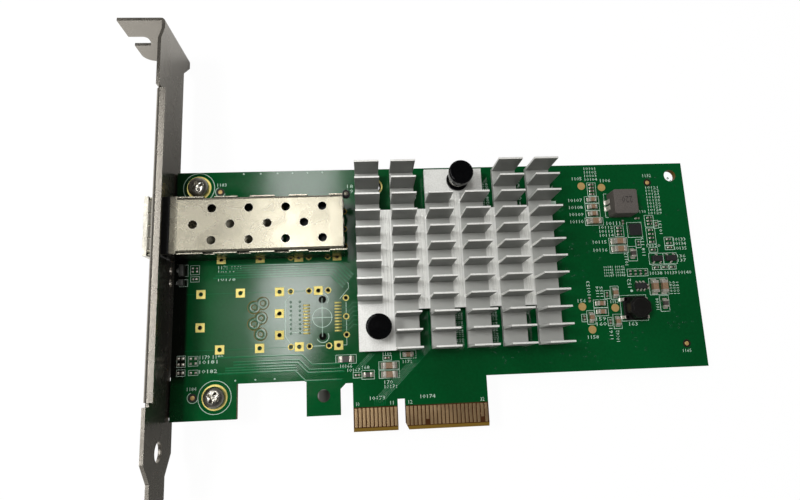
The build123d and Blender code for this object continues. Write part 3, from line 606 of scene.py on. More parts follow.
PAD = Finish("pad_gold", "pad_gold", display(230, 212, 122), display(250, 234, 148),
             metallic=1.0, smooth=0.42, rough=0.54, scale=3600.0, lift=0.004)
STEEL = Finish("bracket_plating", "bracket_steel", display(127, 122, 114), display(158, 153, 144),
               metallic=0.9, smooth=0.22, rough=0.3, scale=3800.0, lift=0.004, brush=Brush.ALONG_Y,
               edge_mm=0.1, edge=display(216, 212, 200))
SCREW = Finish("screw_plating", "screw_steel", display(170, 166, 156), display(206, 202, 192),
               metallic=1.0, smooth=0.16, rough=0.32, scale=2600.0, lift=0.004,
               edge_mm=0.1, edge=display(240, 238, 228))
CAGE = SidedFinish("cage_plating", "cage_steel", display(136, 131, 117), display(168, 163, 145),
                   metallic=0.85, smooth=0.22, rough=0.3, scale=4600.0, lift=0.008,
                   edge_mm=0.14, edge=display(244, 240, 226))
SOCKET = Finish("socket_plastic", "socket_black", display(14, 14, 15), display(28, 28, 30),
                smooth=0.4, rough=0.6, lift=0.012)
ALLOY = AlloyFinish("heatsink_alloy", "heatsink_aluminium", display(222, 222, 217),
                    display(244, 244, 240), metallic=0.42, smooth=0.36, rough=0.5, scale=3400.0,
                    lift=0.01, edge_mm=0.1, edge=display(248, 248, 244))
PIN = Finish("pin_plastic", "pin_black", display(3, 3, 4), display(9, 9, 10),
             smooth=0.05, rough=0.12, scale=1800.0, lift=0.002, edge_mm=0.06,
             edge=display(20, 20, 21), shine=0.2)
SPRING = Finish("spring_wire", "spring_steel", display(150, 148, 142), display(196, 194, 186),
                metallic=1.0, smooth=0.2, rough=0.35)
SUBSTRATE = Finish("substrate_resin", "substrate_green", display(18, 84, 52), display(30, 104, 66),
                   smooth=0.35, rough=0.5, scale=1800.0)
LID = Finish("lid_plating", "lid_metal", display(160, 160, 158), display(190, 190, 186),
             metallic=1.0, smooth=0.3, rough=0.45)
THERMAL = Finish("thermal_filler", "thermal_grey", display(120, 122, 126), display(146, 148, 152),
                 smooth=0.6, rough=0.8)
CHOKE = Finish("pressed_iron", "choke_grey", display(66, 61, 58), display(94, 88, 84),
               smooth=0.55, rough=0.72, scale=5200.0, lift=0.02, edge_mm=0.15,
               edge=display(132, 126, 120))
DRUM = Finish("drum_ferrite", "drum_black", display(7, 7, 6), display(20, 19, 17),
              smooth=0.34, rough=0.5, scale=4200.0, lift=0.014, edge_mm=0.14,
              edge=display(58, 56, 52), shine=0.3)
SOLDER = Finish("bright_tin", "terminal_tin", display(184, 178, 166), display(228, 223, 212),
                metallic=0.68, smooth=0.18, rough=0.36, scale=2800.0, lift=0.01)
CHIP = Finish("mould_compound", "chip_black", display(20, 20, 21), display(38, 38, 39),
              smooth=0.45, rough=0.62, scale=5200.0, lift=0.012, edge_mm=0.06,
              edge=display(76, 76, 76))
CERAMIC = Finish("capacitor_ceramic", "capacitor_brown", display(108, 84, 62),
                 display(140, 114, 90), smooth=0.32, rough=0.48, scale=3600.0, lift=0.006,
                 edge_mm=0.08, edge=display(164, 132, 104))
TINY = Finish("tiny_ceramic", "capacitor_brown", display(58, 44, 34), display(90, 70, 54),
              smooth=0.36, rough=0.5, scale=3600.0, lift=0.006)
BEAD = Finish("bead_ferrite", "bead_dark", display(52, 46, 44), display(76, 70, 66),
              smooth=0.36, rough=0.52, scale=3600.0, lift=0.008)
# Dark laminate brown; inside the plated holes it is painted shade.
RING = Finish("bare_ring_and_hole_shade", "board_green", display(20, 12, 6), display(34, 22, 12),
              smooth=0.5, rough=0.6, lift=0.004)
LIGHT_BODY = Finish("light_resin", "light_white", display(40, 42, 38), display(62, 64, 58),
                    smooth=0.35, rough=0.5)
LENS = LensFinish("lens_resin", "lens_clear", display(226, 230, 228), display(240, 244, 242),
                  smooth=0.08, rough=0.16, lift=0.002)
DARK_MARK = Finish("dark_mark", "choke_grey", display(30, 27, 26), display(44, 40, 38),
                   smooth=0.6, rough=0.75, scale=5200.0)


def rest() -> None:
    """Deselect everything, because an operator acts on all that is selected."""
    bpy.ops.object.select_all(action="DESELECT")


def take(piece: Piece) -> None:
    """Select one piece alone and make it the active one."""
    rest()
    piece.select_set(True)
    bpy.context.view_layer.objects.active = piece


def at(x: float, y: float, z: float = 0.0, turn: float = 0.0) -> Matrix:
    """Return the matrix of a place in millimetres, turned about Z by degrees."""
    return Matrix.Translation(Vector((x, y, z)) * MM) @ Matrix.Rotation(math.radians(turn), 4, "Z")


LAID = Matrix.Rotation(math.radians(-90), 4, "Y")


def quarter(steps: int) -> List[Point2]:
    """Return the cosines and sines of evenly spaced angles from 0 to 90 degrees."""
    angles = [math.radians(90 * index / steps) for index in range(steps + 1)]
    return [(math.cos(angle), math.sin(angle)) for angle in angles]


@dataclass(frozen=True)
class Box:
    """A straight box in millimetres, from its lowest to its highest corner."""

    low: Vector
    high: Vector

    @property
    def centre(self) -> Vector:
        """Middle of the box."""
        return (self.low + self.high) / 2

    @property
    def size(self) -> Vector:
        """Length along each axis."""
        return self.high - self.low

    @property
    def spot(self) -> Point2:
        """X and Y of the middle."""
        return self.centre.x, self.centre.y


def islands(node: str) -> List[Box]:
    """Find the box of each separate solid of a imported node.

    Args:
        node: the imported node's name.

    Returns:
        The boxes in millimetres, in order of X and then Y.
    """
    mesh = bmesh.new()
    mesh.from_mesh(frame["nodes"][node].data)
    bmesh.ops.remove_doubles(mesh, verts=mesh.verts, dist=MERGE * MM)
    mesh.verts.ensure_lookup_table()
    seen = [False] * len(mesh.verts)
    boxes = []
    for start in range(len(mesh.verts)):
        if seen[start]:
            continue
        seen[start] = True
        waiting = [mesh.verts[start]]
        points = []
        while waiting:
            vertex = waiting.pop()
            points.append(vertex.co / MM)
            for edge in vertex.link_edges:
                other = edge.other_vert(vertex)
                if not seen[other.index]:
                    seen[other.index] = True
                    waiting.append(other)
        low = Vector([min(point[axis] for point in points) for axis in range(3)])
        high = Vector([max(point[axis] for point in points) for axis in range(3)])
        boxes.append(Box(low, high))
    mesh.free()
    return sorted(boxes, key=lambda box: (round(box.centre.x, 2), round(box.centre.y, 2)))


class Work:
    """A new mesh with its origin at the card's, open in edit mode while it is shaped."""

    def __init__(self, name: str = "work") -> None:
        """Keep the piece's name."""
        self.name = name
        self.piece: Piece = None

    def __enter__(self) -> "Work":
        """Add an empty mesh and open it."""
        rest()
        bpy.ops.object.add(type="MESH", enter_editmode=True)
        self.piece = bpy.context.object
        self.piece.name = self.name
        return self

    def __exit__(self, *details: object) -> None:
        """Close the mesh."""
        bpy.ops.object.mode_set(mode="OBJECT")

    def block(self, low: Point3, high: Point3) -> None:
        """Add a block between two corners in millimetres."""
        centre = (Vector(low) + Vector(high)) / 2
        size = Vector(high) - Vector(low)
        bpy.ops.mesh.primitive_cube_add(size=1.0, location=centre * MM, scale=size * MM)

    def push(self, x: float = 0.0, y: float = 0.0, z: float = 0.0) -> None:
        """Extrude what is selected by a step in millimetres."""
        bpy.ops.mesh.extrude_region_move(TRANSFORM_OT_translate={"value": (x * MM, y * MM, z * MM)})

    def close(self) -> None:
        """Merge the doubles of the form just made and point its faces outwards."""
        bpy.ops.mesh.select_linked()
        bpy.ops.mesh.remove_doubles(threshold=MERGE * MM)
        bpy.ops.mesh.normals_make_consistent(inside=False)

    def turned(self, centre: Point2, steps: Sequence[Point2], sides: int, fill: str) -> None:
        """Turn a run of diameters and heights about a vertical line.

        Args:
            centre: X and Y of the line.
            steps: the diameters and heights, in millimetres.
            sides: how many sides the form has.
            fill: Blender's word for how the first circle is filled.
        """
        x, y = centre
        width, level = steps[0]
        bpy.ops.mesh.primitive_circle_add(vertices=sides, radius=width / 2 * MM, fill_type=fill,
                                          location=(x * MM, y * MM, level * MM))
        for next_width, next_level in steps[1:]:
            self.push(z=next_level - level)
            share = next_width / width
            bpy.ops.transform.resize(value=(share, share, 1.0),
                                     center_override=(x * MM, y * MM, next_level * MM))
            width, level = next_width, next_level
        self.close()

    def stack(self, centre: Point2, steps: Sequence[Point2], sides: int = 32) -> None:
        """Add a round solid, from its diameters and heights going up."""
        self.turned(centre, steps, sides, "NGON")

    def hoop(self, centre: Point2, steps: Sequence[Point2], sides: int = 32) -> None:
        """Add a ring whose section is a closed run of diameters and heights."""
        self.turned(centre, [*steps, steps[0]], sides, "NOTHING")

    def chain(self, points: Sequence[Sequence[float]]) -> None:
        """Draw a run of edges through points in millimetres."""
        spots = [Vector((*point, 0.0)[:3]) * MM for point in points]
        bpy.ops.mesh.select_all(action="DESELECT")
        bpy.ops.mesh.primitive_plane_add(size=0.01 * MM, location=spots[0])
        bpy.ops.mesh.merge(type="CENTER")
        for before, after in zip(spots, spots[1:]):
            bpy.ops.mesh.extrude_vertices_move(TRANSFORM_OT_translate={"value": after - before})

    def prism(self, points: Sequence[Sequence[float]], push: Point3) -> None:
        """Add a prism from its outline and the step that it is drawn out by.

        Args:
            points: the outline's corners in millimetres.
            push: the step in millimetres.
        """
        self.chain(points)
        bpy.ops.mesh.select_linked()
        bpy.ops.mesh.edge_face_add()
        self.push(*push)
        self.close()


def joined(pieces: Sequence[Piece]) -> Piece:
    """Join pieces into the first of them."""
    rest()
    for piece in pieces:
        piece.select_set(True)
    bpy.context.view_layer.objects.active = pieces[0]
    if len(pieces) > 1:
        bpy.ops.object.join()
    return pieces[0]


def scattered(model: Piece, places: Sequence[Matrix]) -> Piece:
    """Copy a model to every place, each copy with its own mesh, and join the copies.

    Args:
        model: the piece modelled once at the origin; it goes.
        places: where the copies stand.

    Returns:
        One piece of all the copies.
    """
    copies = []
    for place in places:
        copy = bpy.data.objects.new(model.name, model.data.copy())
        copy.data.transform(place)
        bpy.context.scene.collection.objects.link(copy)
        copies.append(copy)
    bpy.data.objects.remove(model)
    return joined(copies)


def standing(node: str) -> List[Matrix]:
    """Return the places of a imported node's solids, on the board's face."""
    return [at(*box.spot) for box in islands(node)]


def apply_modifier(piece: Piece, kind: str, **settings: object) -> None:
    """Add a modifier, set it and apply it.

    Args:
        piece: the piece.
        kind: the modifier's type.
        settings: its property values.
    """
    take(piece)
    made = piece.modifiers.new(kind.lower(), kind)
    for key, value in settings.items():
        setattr(made, key, value)
    bpy.ops.object.modifier_apply(modifier=made.name)


def cut(piece: Piece, cutter: Piece) -> Piece:
    """Take a cutter's shape out of a piece; the cutter goes."""
    apply_modifier(piece, "BOOLEAN", operation="DIFFERENCE", object=cutter, solver="EXACT")
    bpy.data.objects.remove(cutter)
    return piece


def smooth(piece: Piece, angle: float = 34.0) -> Piece:
    """Shade a piece smooth up to an angle, with its large faces kept flat."""
    take(piece)
    bpy.ops.object.shade_smooth_by_angle(angle=math.radians(angle))
    apply_modifier(piece, "WEIGHTED_NORMAL", keep_sharp=True, weight=90)
    return piece


def tubes(piece: Piece, width: float, resolution: int) -> Piece:
    """Turn a piece's edges into tubes.

    Args:
        piece: a mesh of bare edges.
        width: the tubes' diameter in millimetres.
        resolution: how finely they are rounded.

    Returns:
        The tubes as a mesh.
    """
    take(piece)
    bpy.ops.object.convert(target="CURVE")
    curve = bpy.context.object.data
    curve.bevel_depth = width / 2 * MM
    curve.bevel_resolution = resolution
    curve.use_fill_caps = True
    bpy.ops.object.convert(target="MESH")
    return bpy.context.object


def round_edges(piece: Piece, width: float, segments: int = 2, angle: float = 35.0) -> Piece:
    """Round every sharp edge of a piece and shade it smooth.

    Args:
        piece: the piece.
        width: the rounding's width in millimetres.
        segments: how many steps it has.
        angle: edges that turn more than this, in degrees, are rounded.

    Returns:
        The same piece.
    """
    apply_modifier(piece, "BEVEL", width=width * MM, segments=segments,
                   limit_method="ANGLE", angle_limit=math.radians(angle))
    return smooth(piece, 46.0)


def dress(piece: Piece, name: str, finish: Finish, *nodes: str) -> Piece:
    """Name a finished piece, give it its finish and tie it to the card.

    Args:
        piece: the mesh, in place.
        name: its name in the model.
        finish: what it is made of.
        nodes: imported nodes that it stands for.

    Returns:
        The same piece.
    """
    piece.name = name
    piece.data.name = name
    piece.data.materials.clear()
    piece.data.materials.append(finish.material())
    for polygon in piece.data.polygons:
        polygon.material_index = 0
    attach(piece, ROOT)
    if nodes:
        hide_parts(*nodes)
    LOG.info("piece %s: %d faces", name, len(piece.data.polygons))
    return piece


def copied_node(node: str) -> Piece:
    """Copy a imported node's mesh into a new piece, with its loose triangles merged.

    Args:
        node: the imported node's name.

    Returns:
        The copy, with its flat faces whole again.
    """
    source = frame["nodes"][node]
    piece = bpy.data.objects.new(node + "_copy", source.data.copy())
    bpy.context.scene.collection.objects.link(piece)
    take(piece)
    bpy.ops.object.mode_set(mode="EDIT")
    bpy.ops.mesh.select_all(action="SELECT")
    bpy.ops.mesh.remove_doubles(threshold=MERGE * MM)
    bpy.ops.mesh.dissolve_limited(angle_limit=math.radians(0.5))
    bpy.ops.object.mode_set(mode="OBJECT")
    return piece


def softened(node: str, finish: Finish, width: float, segments: int = 2) -> Piece:
    """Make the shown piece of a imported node: the same shape with its edges rounded.

    Args:
        node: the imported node's name.
        finish: what it is made of.
        width: the rounding's width in millimetres.
        segments: how many steps the rounding has.

    Returns:
        The dressed piece.
    """
    return dress(round_edges(copied_node(node), width, segments), node + "_shown", finish, node)


@dataclass(frozen=True)
class Fan:
    """Strokes side by side, each corner moved on by a step of its own from one to the next."""

    corners: Tuple[Point2, ...]
    count: int = 1
    steps: Tuple[Point2, ...] = ((0.0, 0.0),)

    def strokes(self) -> List[Sequence[Point2]]:
        """Return the strokes; a single step serves every corner."""
        steps = self.steps * len(self.corners) if len(self.steps) == 1 else self.steps
        return [[(x + index * dx, y + index * dy) for (x, y), (dx, dy) in zip(self.corners, steps)]
                for index in range(self.count)]


@dataclass
class LineWork:
    """Flat lines of one width on a face of the board, drawn as strokes and then built at once."""

    name: str
    finish: Finish
    width: float
    level: float = 0.0
    height: float = 0.02
    strokes: List[Sequence[Point2]] = field(default_factory=list)

    def frame(self, left: float, right: float, low: float, high: float) -> None:
        """Draw a rectangle."""
        corners = [(left, low), (right, low), (right, high), (left, high)]
        self.strokes.append(corners + [corners[0]])

    def arc(self, centre: Point2, radius: float, start: float = 0.0, end: float = 360.0) -> None:
        """Draw an arc.

        Args:
            centre: its middle.
            radius: its radius.
            start: first angle in degrees.
            end: last angle in degrees.
        """
        steps = max(6, int(abs(end - start) / 15))
        angles = [math.radians(start + (end - start) * index / steps) for index in range(steps + 1)]
        self.strokes.append([(centre[0] + radius * math.cos(angle),
                              centre[1] + radius * math.sin(angle)) for angle in angles])

    def fans(self, *fans: Fan) -> None:
        """Draw every stroke of some fans."""
        for fan in fans:
            self.strokes += fan.strokes()

    def build(self) -> Piece:
        """Turn the strokes into one flat mesh and dress it."""
        with Work(self.name) as work:
            for stroke in self.strokes:
                work.chain(stroke)
        piece = tubes(work.piece, self.width, 0)
        flat = Matrix.Diagonal((1.0, 1.0, self.height / self.width, 1.0))
        middle = self.level + self.height / 2
        piece.data.transform(Matrix.Translation((0.0, 0.0, middle * MM)) @ flat)
        return dress(smooth(piece), self.name, self.finish)


@dataclass
class Numbers:
    """Small plain numbers that count up, printed where the real card has its part labels."""

    name: str
    finish: Finish
    level: float = 0.0
    height: float = 0.016
    thinning: float = 0.006
    half_depth: float = 0.1
    row_gap: float = 0.95
    digit_share: float = 0.72
    longest: int = 5
    next_number: int = 101
    blocks: List[Piece] = field(default_factory=list)

    def put(self, text: str, left: float, right: float, low: float, high: float,
            turn: float = 0.0) -> None:
        """Print text so that it fills a rectangle.

        Args:
            text: the digits, with line breaks between rows.
            left: the rectangle's lowest X.
            right: its highest X.
            low: its lowest Y.
            high: its highest Y.
            turn: how far the text is turned, in degrees.
        """
        rest()
        bpy.ops.object.text_add()
        words = bpy.context.object
        words.data.body = text
        words.data.resolution_u = 1
        words.data.align_x = "CENTER"
        words.data.offset = -self.thinning
        words.data.extrude = self.half_depth
        words.data.space_line = self.row_gap
        bpy.ops.object.convert(target="MESH")
        words = bpy.context.object
        corners = [vertex.co for vertex in words.data.vertices]
        least = Vector([min(corner[axis] for corner in corners) for axis in range(3)])
        most = Vector([max(corner[axis] for corner in corners) for axis in range(3)])
        wide, tall = (high - low, right - left) if turn == 90.0 else (right - left, high - low)
        shares = (wide / (most.x - least.x) * MM, tall / (most.y - least.y) * MM,
                  self.height / (2 * self.half_depth) * MM, 1.0)
        shift = Matrix.Translation(-(least + most) / 2)
        place = at((left + right) / 2, (low + high) / 2, self.level + self.height / 2, turn)
        words.data.transform(place @ Matrix.Diagonal(shares) @ shift)
        self.blocks.append(words)

    def count(self, left: float, right: float, low: float, high: float, upright: bool = False,
              rows: int = 1) -> None:
        """Print the next numbers in a rectangle, as many digits as fit its rows.

        Args:
            left: the rectangle's lowest X.
            right: its highest X.
            low: its lowest Y.
            high: its highest Y.
            upright: whether the text reads upwards.
            rows: how many rows it has.
        """
        long, tall = (high - low, right - left) if upright else (right - left, high - low)
        room = max(1, round(long / (self.digit_share * tall / rows)))
        words = max(1, round(room / self.longest))
        digits = min(self.longest, room)
        if words > 1:
            digits = max(1, min(self.longest, round((room + 1) / words) - 1))
        least = 10 ** (digits - 1)
        lines = []
        for _ in range(rows):
            shown = range(self.next_number, self.next_number + words)
            lines.append(" ".join(str(least + number % least) for number in shown))
            self.next_number += words
        self.put("\n".join(lines), left, right, low, high, 90.0 if upright else 0.0)

    def build(self) -> Piece:
        """Join what was printed and dress it."""
        return dress(joined(self.blocks), self.name, self.finish)


@dataclass
class CircuitBoard:
    """The board: laminate, plated holes, contacts, pads, traces, print and solder."""

    thickness: float = 1.57
    port_ys: Point2 = PORT_YS
    pin_hole: float = 1.05
    signal_hole: float = 0.95
    peg_hole: float = 1.9
    peg_x: float = -19.5
    peg_spread: float = 9.5
    screw_hole: float = 3.3
    push_hole: float = 3.1
    spare_hole: Point2 = (-5.3, 63.6)
    screw_places: Tuple[Point2, Point2] = SCREW_PLACES
    push_places: Tuple[Point2, Point2] = PUSH_PLACES
    round_up: float = 1.03
    pad_t: float = 0.05
    pad_round: float = 0.02
    wide_ring: float = 6.4
    spare_ring: float = 4.9
    spare_rim: float = 4.0
    mark_surround: float = 2.1
    back_ring_t: float = 0.035
    back_land: float = 0.85
    port_reach: float = 9.0
    joint_steps: Tuple[Point2, ...] = ((0.62, 0.72), (0.8, 0.62), (1.05, 0.3), (1.7, 0.04),
                                       (1.75, 0.0))
    covered_steps: Tuple[Point2, ...] = ((3.4, 0), (3.3, 0.03), (2.9, 0.048), (2.25, 0.058),
                                         (1.6, 0.048), (1.2, 0.03), (1.1, 0))
    via_steps: Tuple[Point2, ...] = ((0.62, 0), (0.54, 0.025), (0.3, 0.022), (0.22, 0.002))
    print_width: float = 0.13
    screw_mark_r: float = 4.1
    dot_r: float = 0.14
    land_t: float = 0.04

    def build(self) -> None:
        """Build the board and everything printed, plated or soldered on it."""
        self.laminate()
        self.contacts()
        self.pads()
        self.barrels()
        self.back_rings()
        self.traces()
        self.tented_rings()
        self.vias()
        self.outlines()
        self.labels()
        self.light_lands()

    def small_holes(self) -> List[Tuple[Point2, float]]:
        """Return the place and diameter of every plated hole of the ports."""
        kinds = (("cage_pin_pads", self.pin_hole), ("signal_ring_pads", self.signal_hole))
        return [(box.spot, diameter) for node, diameter in kinds for box in islands(node)]

    def cutter(self, low: float, high: float, wide: bool = True) -> Piece:
        """Make round cutters for the many-sided holes.

        Args:
            low: their lower end.
            high: their upper end.
            wide: whether the peg, screw and push pin holes are among them.

        Returns:
            All cutters as one piece.
        """
        holes = self.small_holes()
        if wide:
            holes += [((self.peg_x, y + side * self.peg_spread / 2), self.peg_hole)
                      for y in self.port_ys for side in (-1, 1)]
            holes += [(place, self.screw_hole) for place in self.screw_places + (self.spare_hole,)]
            holes += [(place, self.push_hole) for place in self.push_places]
        with Work("cutter") as work:
            for place, diameter in holes:
                width = diameter * self.round_up
                work.stack(place, ((width, low), (width, high)), 20 if diameter < 2 else 40)
        return work.piece

    def laminate(self) -> None:
        """Build the laminate with round holes."""
        piece = cut(copied_node("circuit_board"), self.cutter(-self.thickness - 1, 1))
        dress(smooth(piece, 30.0), "circuit_board_shown", MASK, "circuit_board")

    def contacts(self) -> None:
        """Build the edge contacts of both faces, with rounded ends."""
        for side in ("front", "back"):
            softened("edge_contacts_" + side, CONTACT, self.pad_round, 1)

    def pads(self) -> None:
        """Build the bare pads of the component face."""
        for node in ("cage_pin_pads", "signal_ring_pads"):
            piece = cut(copied_node(node), self.cutter(-1, 1, wide=False))
            dress(round_edges(piece, self.pad_round, 1), node + "_shown", PAD, node)
        softened("socket_pads", PAD, self.pad_round, 1)
        self.rings()
        self.discs("test_pads", TAN_PAD)
        self.discs("alignment_marks", TAN_PAD)
        with Work() as work:
            for box in islands("alignment_marks"):
                work.stack(box.spot, ((self.mark_surround, -0.02), (self.mark_surround, 0.012)), 32)
        dress(smooth(work.piece), "mark_surrounds", RING)

    def rings(self) -> None:
        """Build the pad rings: wide ones under the screws, a narrow one round the spare hole."""
        top, shoulder = self.pad_t, self.pad_t - 0.02
        rings = [(place, self.wide_ring, self.screw_hole) for place in self.screw_places]
        rings.append((self.spare_hole, self.spare_ring, self.spare_rim))
        with Work() as work:
            for place, outer, inner in rings:
                work.hoop(place, ((outer, 0), (outer, shoulder), (outer - 0.05, top),
                                  (inner + 0.05, top), (inner, shoulder), (inner, 0)), 56)
        dress(smooth(work.piece), "mounting_rings_shown", PAD, "mounting_rings")
        with Work() as work:
            work.hoop(self.spare_hole, ((self.spare_rim, 0), (self.spare_rim, 0.02),
                                        (self.screw_hole, 0.02), (self.screw_hole, 0)), 48)
        dress(smooth(work.piece), "spare_hole_rim", RING)

    def discs(self, node: str, finish: Finish) -> None:
        """Build round pads with a soft rim where a node has them."""
        width = islands(node)[0].size.x
        with Work(node) as work:
            work.stack((0, 0), ((width, 0), (width, 0.03), (width - 0.06, self.pad_t)), 32)
        dress(smooth(scattered(work.piece, standing(node))), node + "_shown", finish, node)

    def barrels(self) -> None:
        """Line the plated holes with thin copper tubes, in the dark ring finish as painted shade
        inside the holes.
        """
        low, high = -self.thickness - 0.02, self.pad_t - 0.005
        with Work() as work:
            for place, diameter in self.small_holes():
                outer = diameter * self.round_up
                inner = outer - 0.1
                work.hoop(place, ((outer, low), (outer, high), (inner, high), (inner, low)), 20)
        # The dark ring finish paints the shade inside the holes.
        dress(smooth(work.piece), "hole_barrels", RING)

    def back_rings(self) -> None:
        """Lay pad rings and solder joints on the back face."""
        back = -self.thickness
        under = back - self.back_ring_t
        rings = [(place, diameter * self.round_up, diameter + self.back_land, 20)
                 for place, diameter in self.small_holes()]
        rings += [(place, self.screw_hole, self.wide_ring, 48)
                  for place in (self.spare_hole,) + self.push_places]
        with Work() as work:
            for place, inner, outer, sides in rings:
                work.hoop(place, ((outer, back), (inner, back), (inner, under),
                                  (outer - 0.05, under)), sides)
        dress(smooth(work.piece), "back_pad_rings", PAD)
        pins = [box for box in islands("cage_pin_pads")
                if abs(box.centre.y - self.port_ys[1]) < self.port_reach]
        with Work() as joints:
            joints.stack((0, 0), [(width, back - drop) for width, drop in self.joint_steps], 20)
        places = [at(*box.spot) for box in pins]
        dress(smooth(scattered(joints.piece, places), 50.0), "back_solder_joints", SOLDER)

    def traces(self) -> None:
        """Draw the copper lines that show under the mask of both faces."""
        back = -self.thickness - 0.02
        for name, width, level, height, fans in (("wide_traces", 0.42, 0.0, 0.05, WIDE_TRACES),
                                                 ("fine_traces", 0.15, 0.0, 0.03, FINE_TRACES),
                                                 ("back_traces", 0.22, back, 0.02, BACK_TRACES)):
            lines = LineWork(name, COPPER, width, level, height)
            lines.fans(*fans)
            lines.build()

    def tented_rings(self) -> None:
        """Raise the mask over the cluster of large covered rings between the port pads."""
        with Work() as work:
            for place in COVERED_PLACES:
                work.hoop(place, self.covered_steps, 32)
        dress(smooth(work.piece, 60.0), "covered_rings", MASK)

    def vias(self) -> None:
        """Raise the small covered holes that dot the board."""
        source = random.Random(7)
        places = [(x, 25.0 + 1.15 * index) for x in (-27.6, -25.3) for index in range(8)]
        for left, right, low, high, many in VIA_FIELDS:
            for _ in range(many):
                places.append((source.uniform(left, right), source.uniform(low, high)))
        with Work() as model:
            model.hoop((0, 0), self.via_steps, 12)
        piece = scattered(model.piece, [at(x, y) for x, y in places])
        dress(smooth(piece, 60.0), "covered_holes", TENTED)

    def outlines(self) -> None:
        """Print the outlines of the parts and marks on the component face."""
        lines = LineWork("printed_outlines", PRINT, self.print_width)
        for box in OUTLINE_BOXES:
            lines.frame(*box)
        lines.strokes += PRINT_STROKES
        for place in self.screw_places:
            lines.arc(place, self.screw_mark_r)
        for centre, radius, start, end in PRINT_ARCS:
            lines.arc(centre, radius, start, end)
        for dot in PRINT_DOTS:
            lines.arc(dot, self.dot_r)
        lines.build()

    def labels(self) -> None:
        """Print plain numbers where the real card has its part labels."""
        numbers = Numbers("printed_numbers", PRINT)
        for left, right, low, high, rows, upright in LABEL_BLOCKS:
            numbers.count(left, right, low, high, upright, rows)
        for text, x, y, wide in EDGE_NUMBERS:
            numbers.put(text, x - wide / 2, x + wide / 2, y - 0.45, y + 0.45)
        numbers.build()

    def light_lands(self) -> None:
        """Lay the bare pads of the places where the lower port's lights would stand."""
        with Work() as work:
            for (half_x, half_y), places in LIGHT_LANDS:
                for x, y in places:
                    work.block((x - half_x, y - half_y, 0), (x + half_x, y + half_y, self.land_t))
        dress(round_edges(work.piece, 0.015, 1), "spare_lands", SOLDER)


WIDE_TRACES: Tuple[Fan, ...] = (
    Fan(((-47.5, 39.9), (-17.4, 39.9), (-14.0, 36.5)), 6,
        ((0.6, 0.65), (0.55, 0.65), (0.55, 0.65))),
    Fan(((-46.0, 19.6), (-24.9, 19.6), (-22.3, 17.0), (-13.1, 17.0))),
    Fan(((-42.0, 18.35), (-25.6, 18.35), (-23.0, 15.75), (-13.8, 15.75))),
    Fan(((-42.0, 17.6), (-26.0, 17.6), (-23.4, 15.0), (-14.2, 15.0))),
    Fan(((-46.0, 15.6), (-26.6, 15.6), (-24.0, 13.0), (-14.8, 13.0))),
    Fan(((-44.0, 16.9), (-26.4, 16.9)), 3, ((0.0, -0.62), (0.2, -0.62))),
)

FINE_TRACES: Tuple[Fan, ...] = (
    Fan(((-54.0, 35.85), (-24.0, 35.85))),
    Fan(((-54.0, 21.55), (-24.0, 21.55))),
    Fan(((-12.6, 28.9), (-13.4, 28.9))),
    Fan(((6.3, 20.6), (-3.3, 11.0), (-6.7, 7.6), (-6.7, 6.2)), 6, ((0.52, 0.0),)),
    Fan(((-7.7, 19.2), (-11.2, 15.7), (-11.2, 14.7)), 4, ((0.5, 0.0),)),
    Fan(((-14.6, 25.4), (-12.9, 25.4), (-11.6, 26.7), (-9.9, 26.7)), 6, ((0.0, 1.15),)),
    Fan(((-11.0, 61.2), (-8.8, 61.2)), 5, ((0.0, 0.9), (-0.3, 0.9))),
)

BACK_TRACES: Tuple[Fan, ...] = (
    Fan(((-10.5, 6.1), (-10.5, 9.0), (-6.5, 13.0), (-6.5, 24.0)), 10,
        ((1.0, 0.0), (1.0, 0.4), (1.0, 0.4), (1.0, 0.6))),
    Fan(((3.6, 6.1), (3.6, 11.0), (1.6, 13.0), (1.6, 26.0)), 12,
        ((1.5, 0.0), (1.5, 0.0), (1.5, 0.0), (1.5, 0.5))),
    Fan(((-48.0, 40.0), (-20.0, 40.0), (-17.0, 37.0), (-6.0, 37.0)), 6, ((0.0, 1.1),)),
    Fan(((22.0, 30.0), (46.0, 30.0), (50.0, 34.0), (66.0, 34.0)), 5, ((0.0, 1.3),)),
)

COVERED_PLACES: Tuple[Point2, ...] = (
    (-37.0, 32.0), (-34.8, 33.0), (-35.2, 29.2), (-37.0, 27.8), (-35.3, 25.1),
)

# Left, right, low and high end of a field, and how many covered holes it has.
VIA_FIELDS: Tuple[Tuple[float, float, float, float, int], ...] = (
    (43.5, 50.5, 36.0, 60.0, 26), (52.0, 56.0, 38.5, 50.0, 14), (66.5, 79.5, 53.0, 66.0, 22),
    (72.0, 80.0, 22.0, 36.0, 16), (44.0, 66.0, 14.5, 22.0, 22), (-12.6, -10.6, 40.0, 62.0, 10),
    (22.0, 43.0, 14.0, 18.8, 12), (-48.0, -30.0, 45.0, 46.0, 5),
)

PRINT_STROKES: Tuple[Tuple[Point2, ...], ...] = (
    ((-19.6, 23.9), (-19.6, 33.8)),
    ((-22.0, 28.8), (-16.9, 28.8)),
    ((-27.8, 34.6), (-29.0, 33.3), (-29.0, 24.3), (-27.9, 22.7)),
    ((-27.8, 30.6), (-27.8, 25.2), (-23.2, 25.2)),
    ((-16.0, 41.0), (-12.7, 37.5), (-12.7, 36.2), (-15.0, 33.5)),
    ((-13.4, 32.6), (-13.4, 29.8)),
    ((-13.4, 28.0), (-13.4, 25.2)),
    ((-13.4, 23.4), (-13.4, 21.6), (-14.6, 21.6)),
    ((-21.9, 21.6), (-19.0, 21.6)),
    ((58.2, 53.4), (58.2, 60.1), (59.0, 60.1)),
    ((58.2, 53.4), (59.0, 53.4)),
    ((59.5, 25.0), (59.5, 31.8), (66.7, 31.8), (66.7, 25.0), (59.5, 25.0)),
)

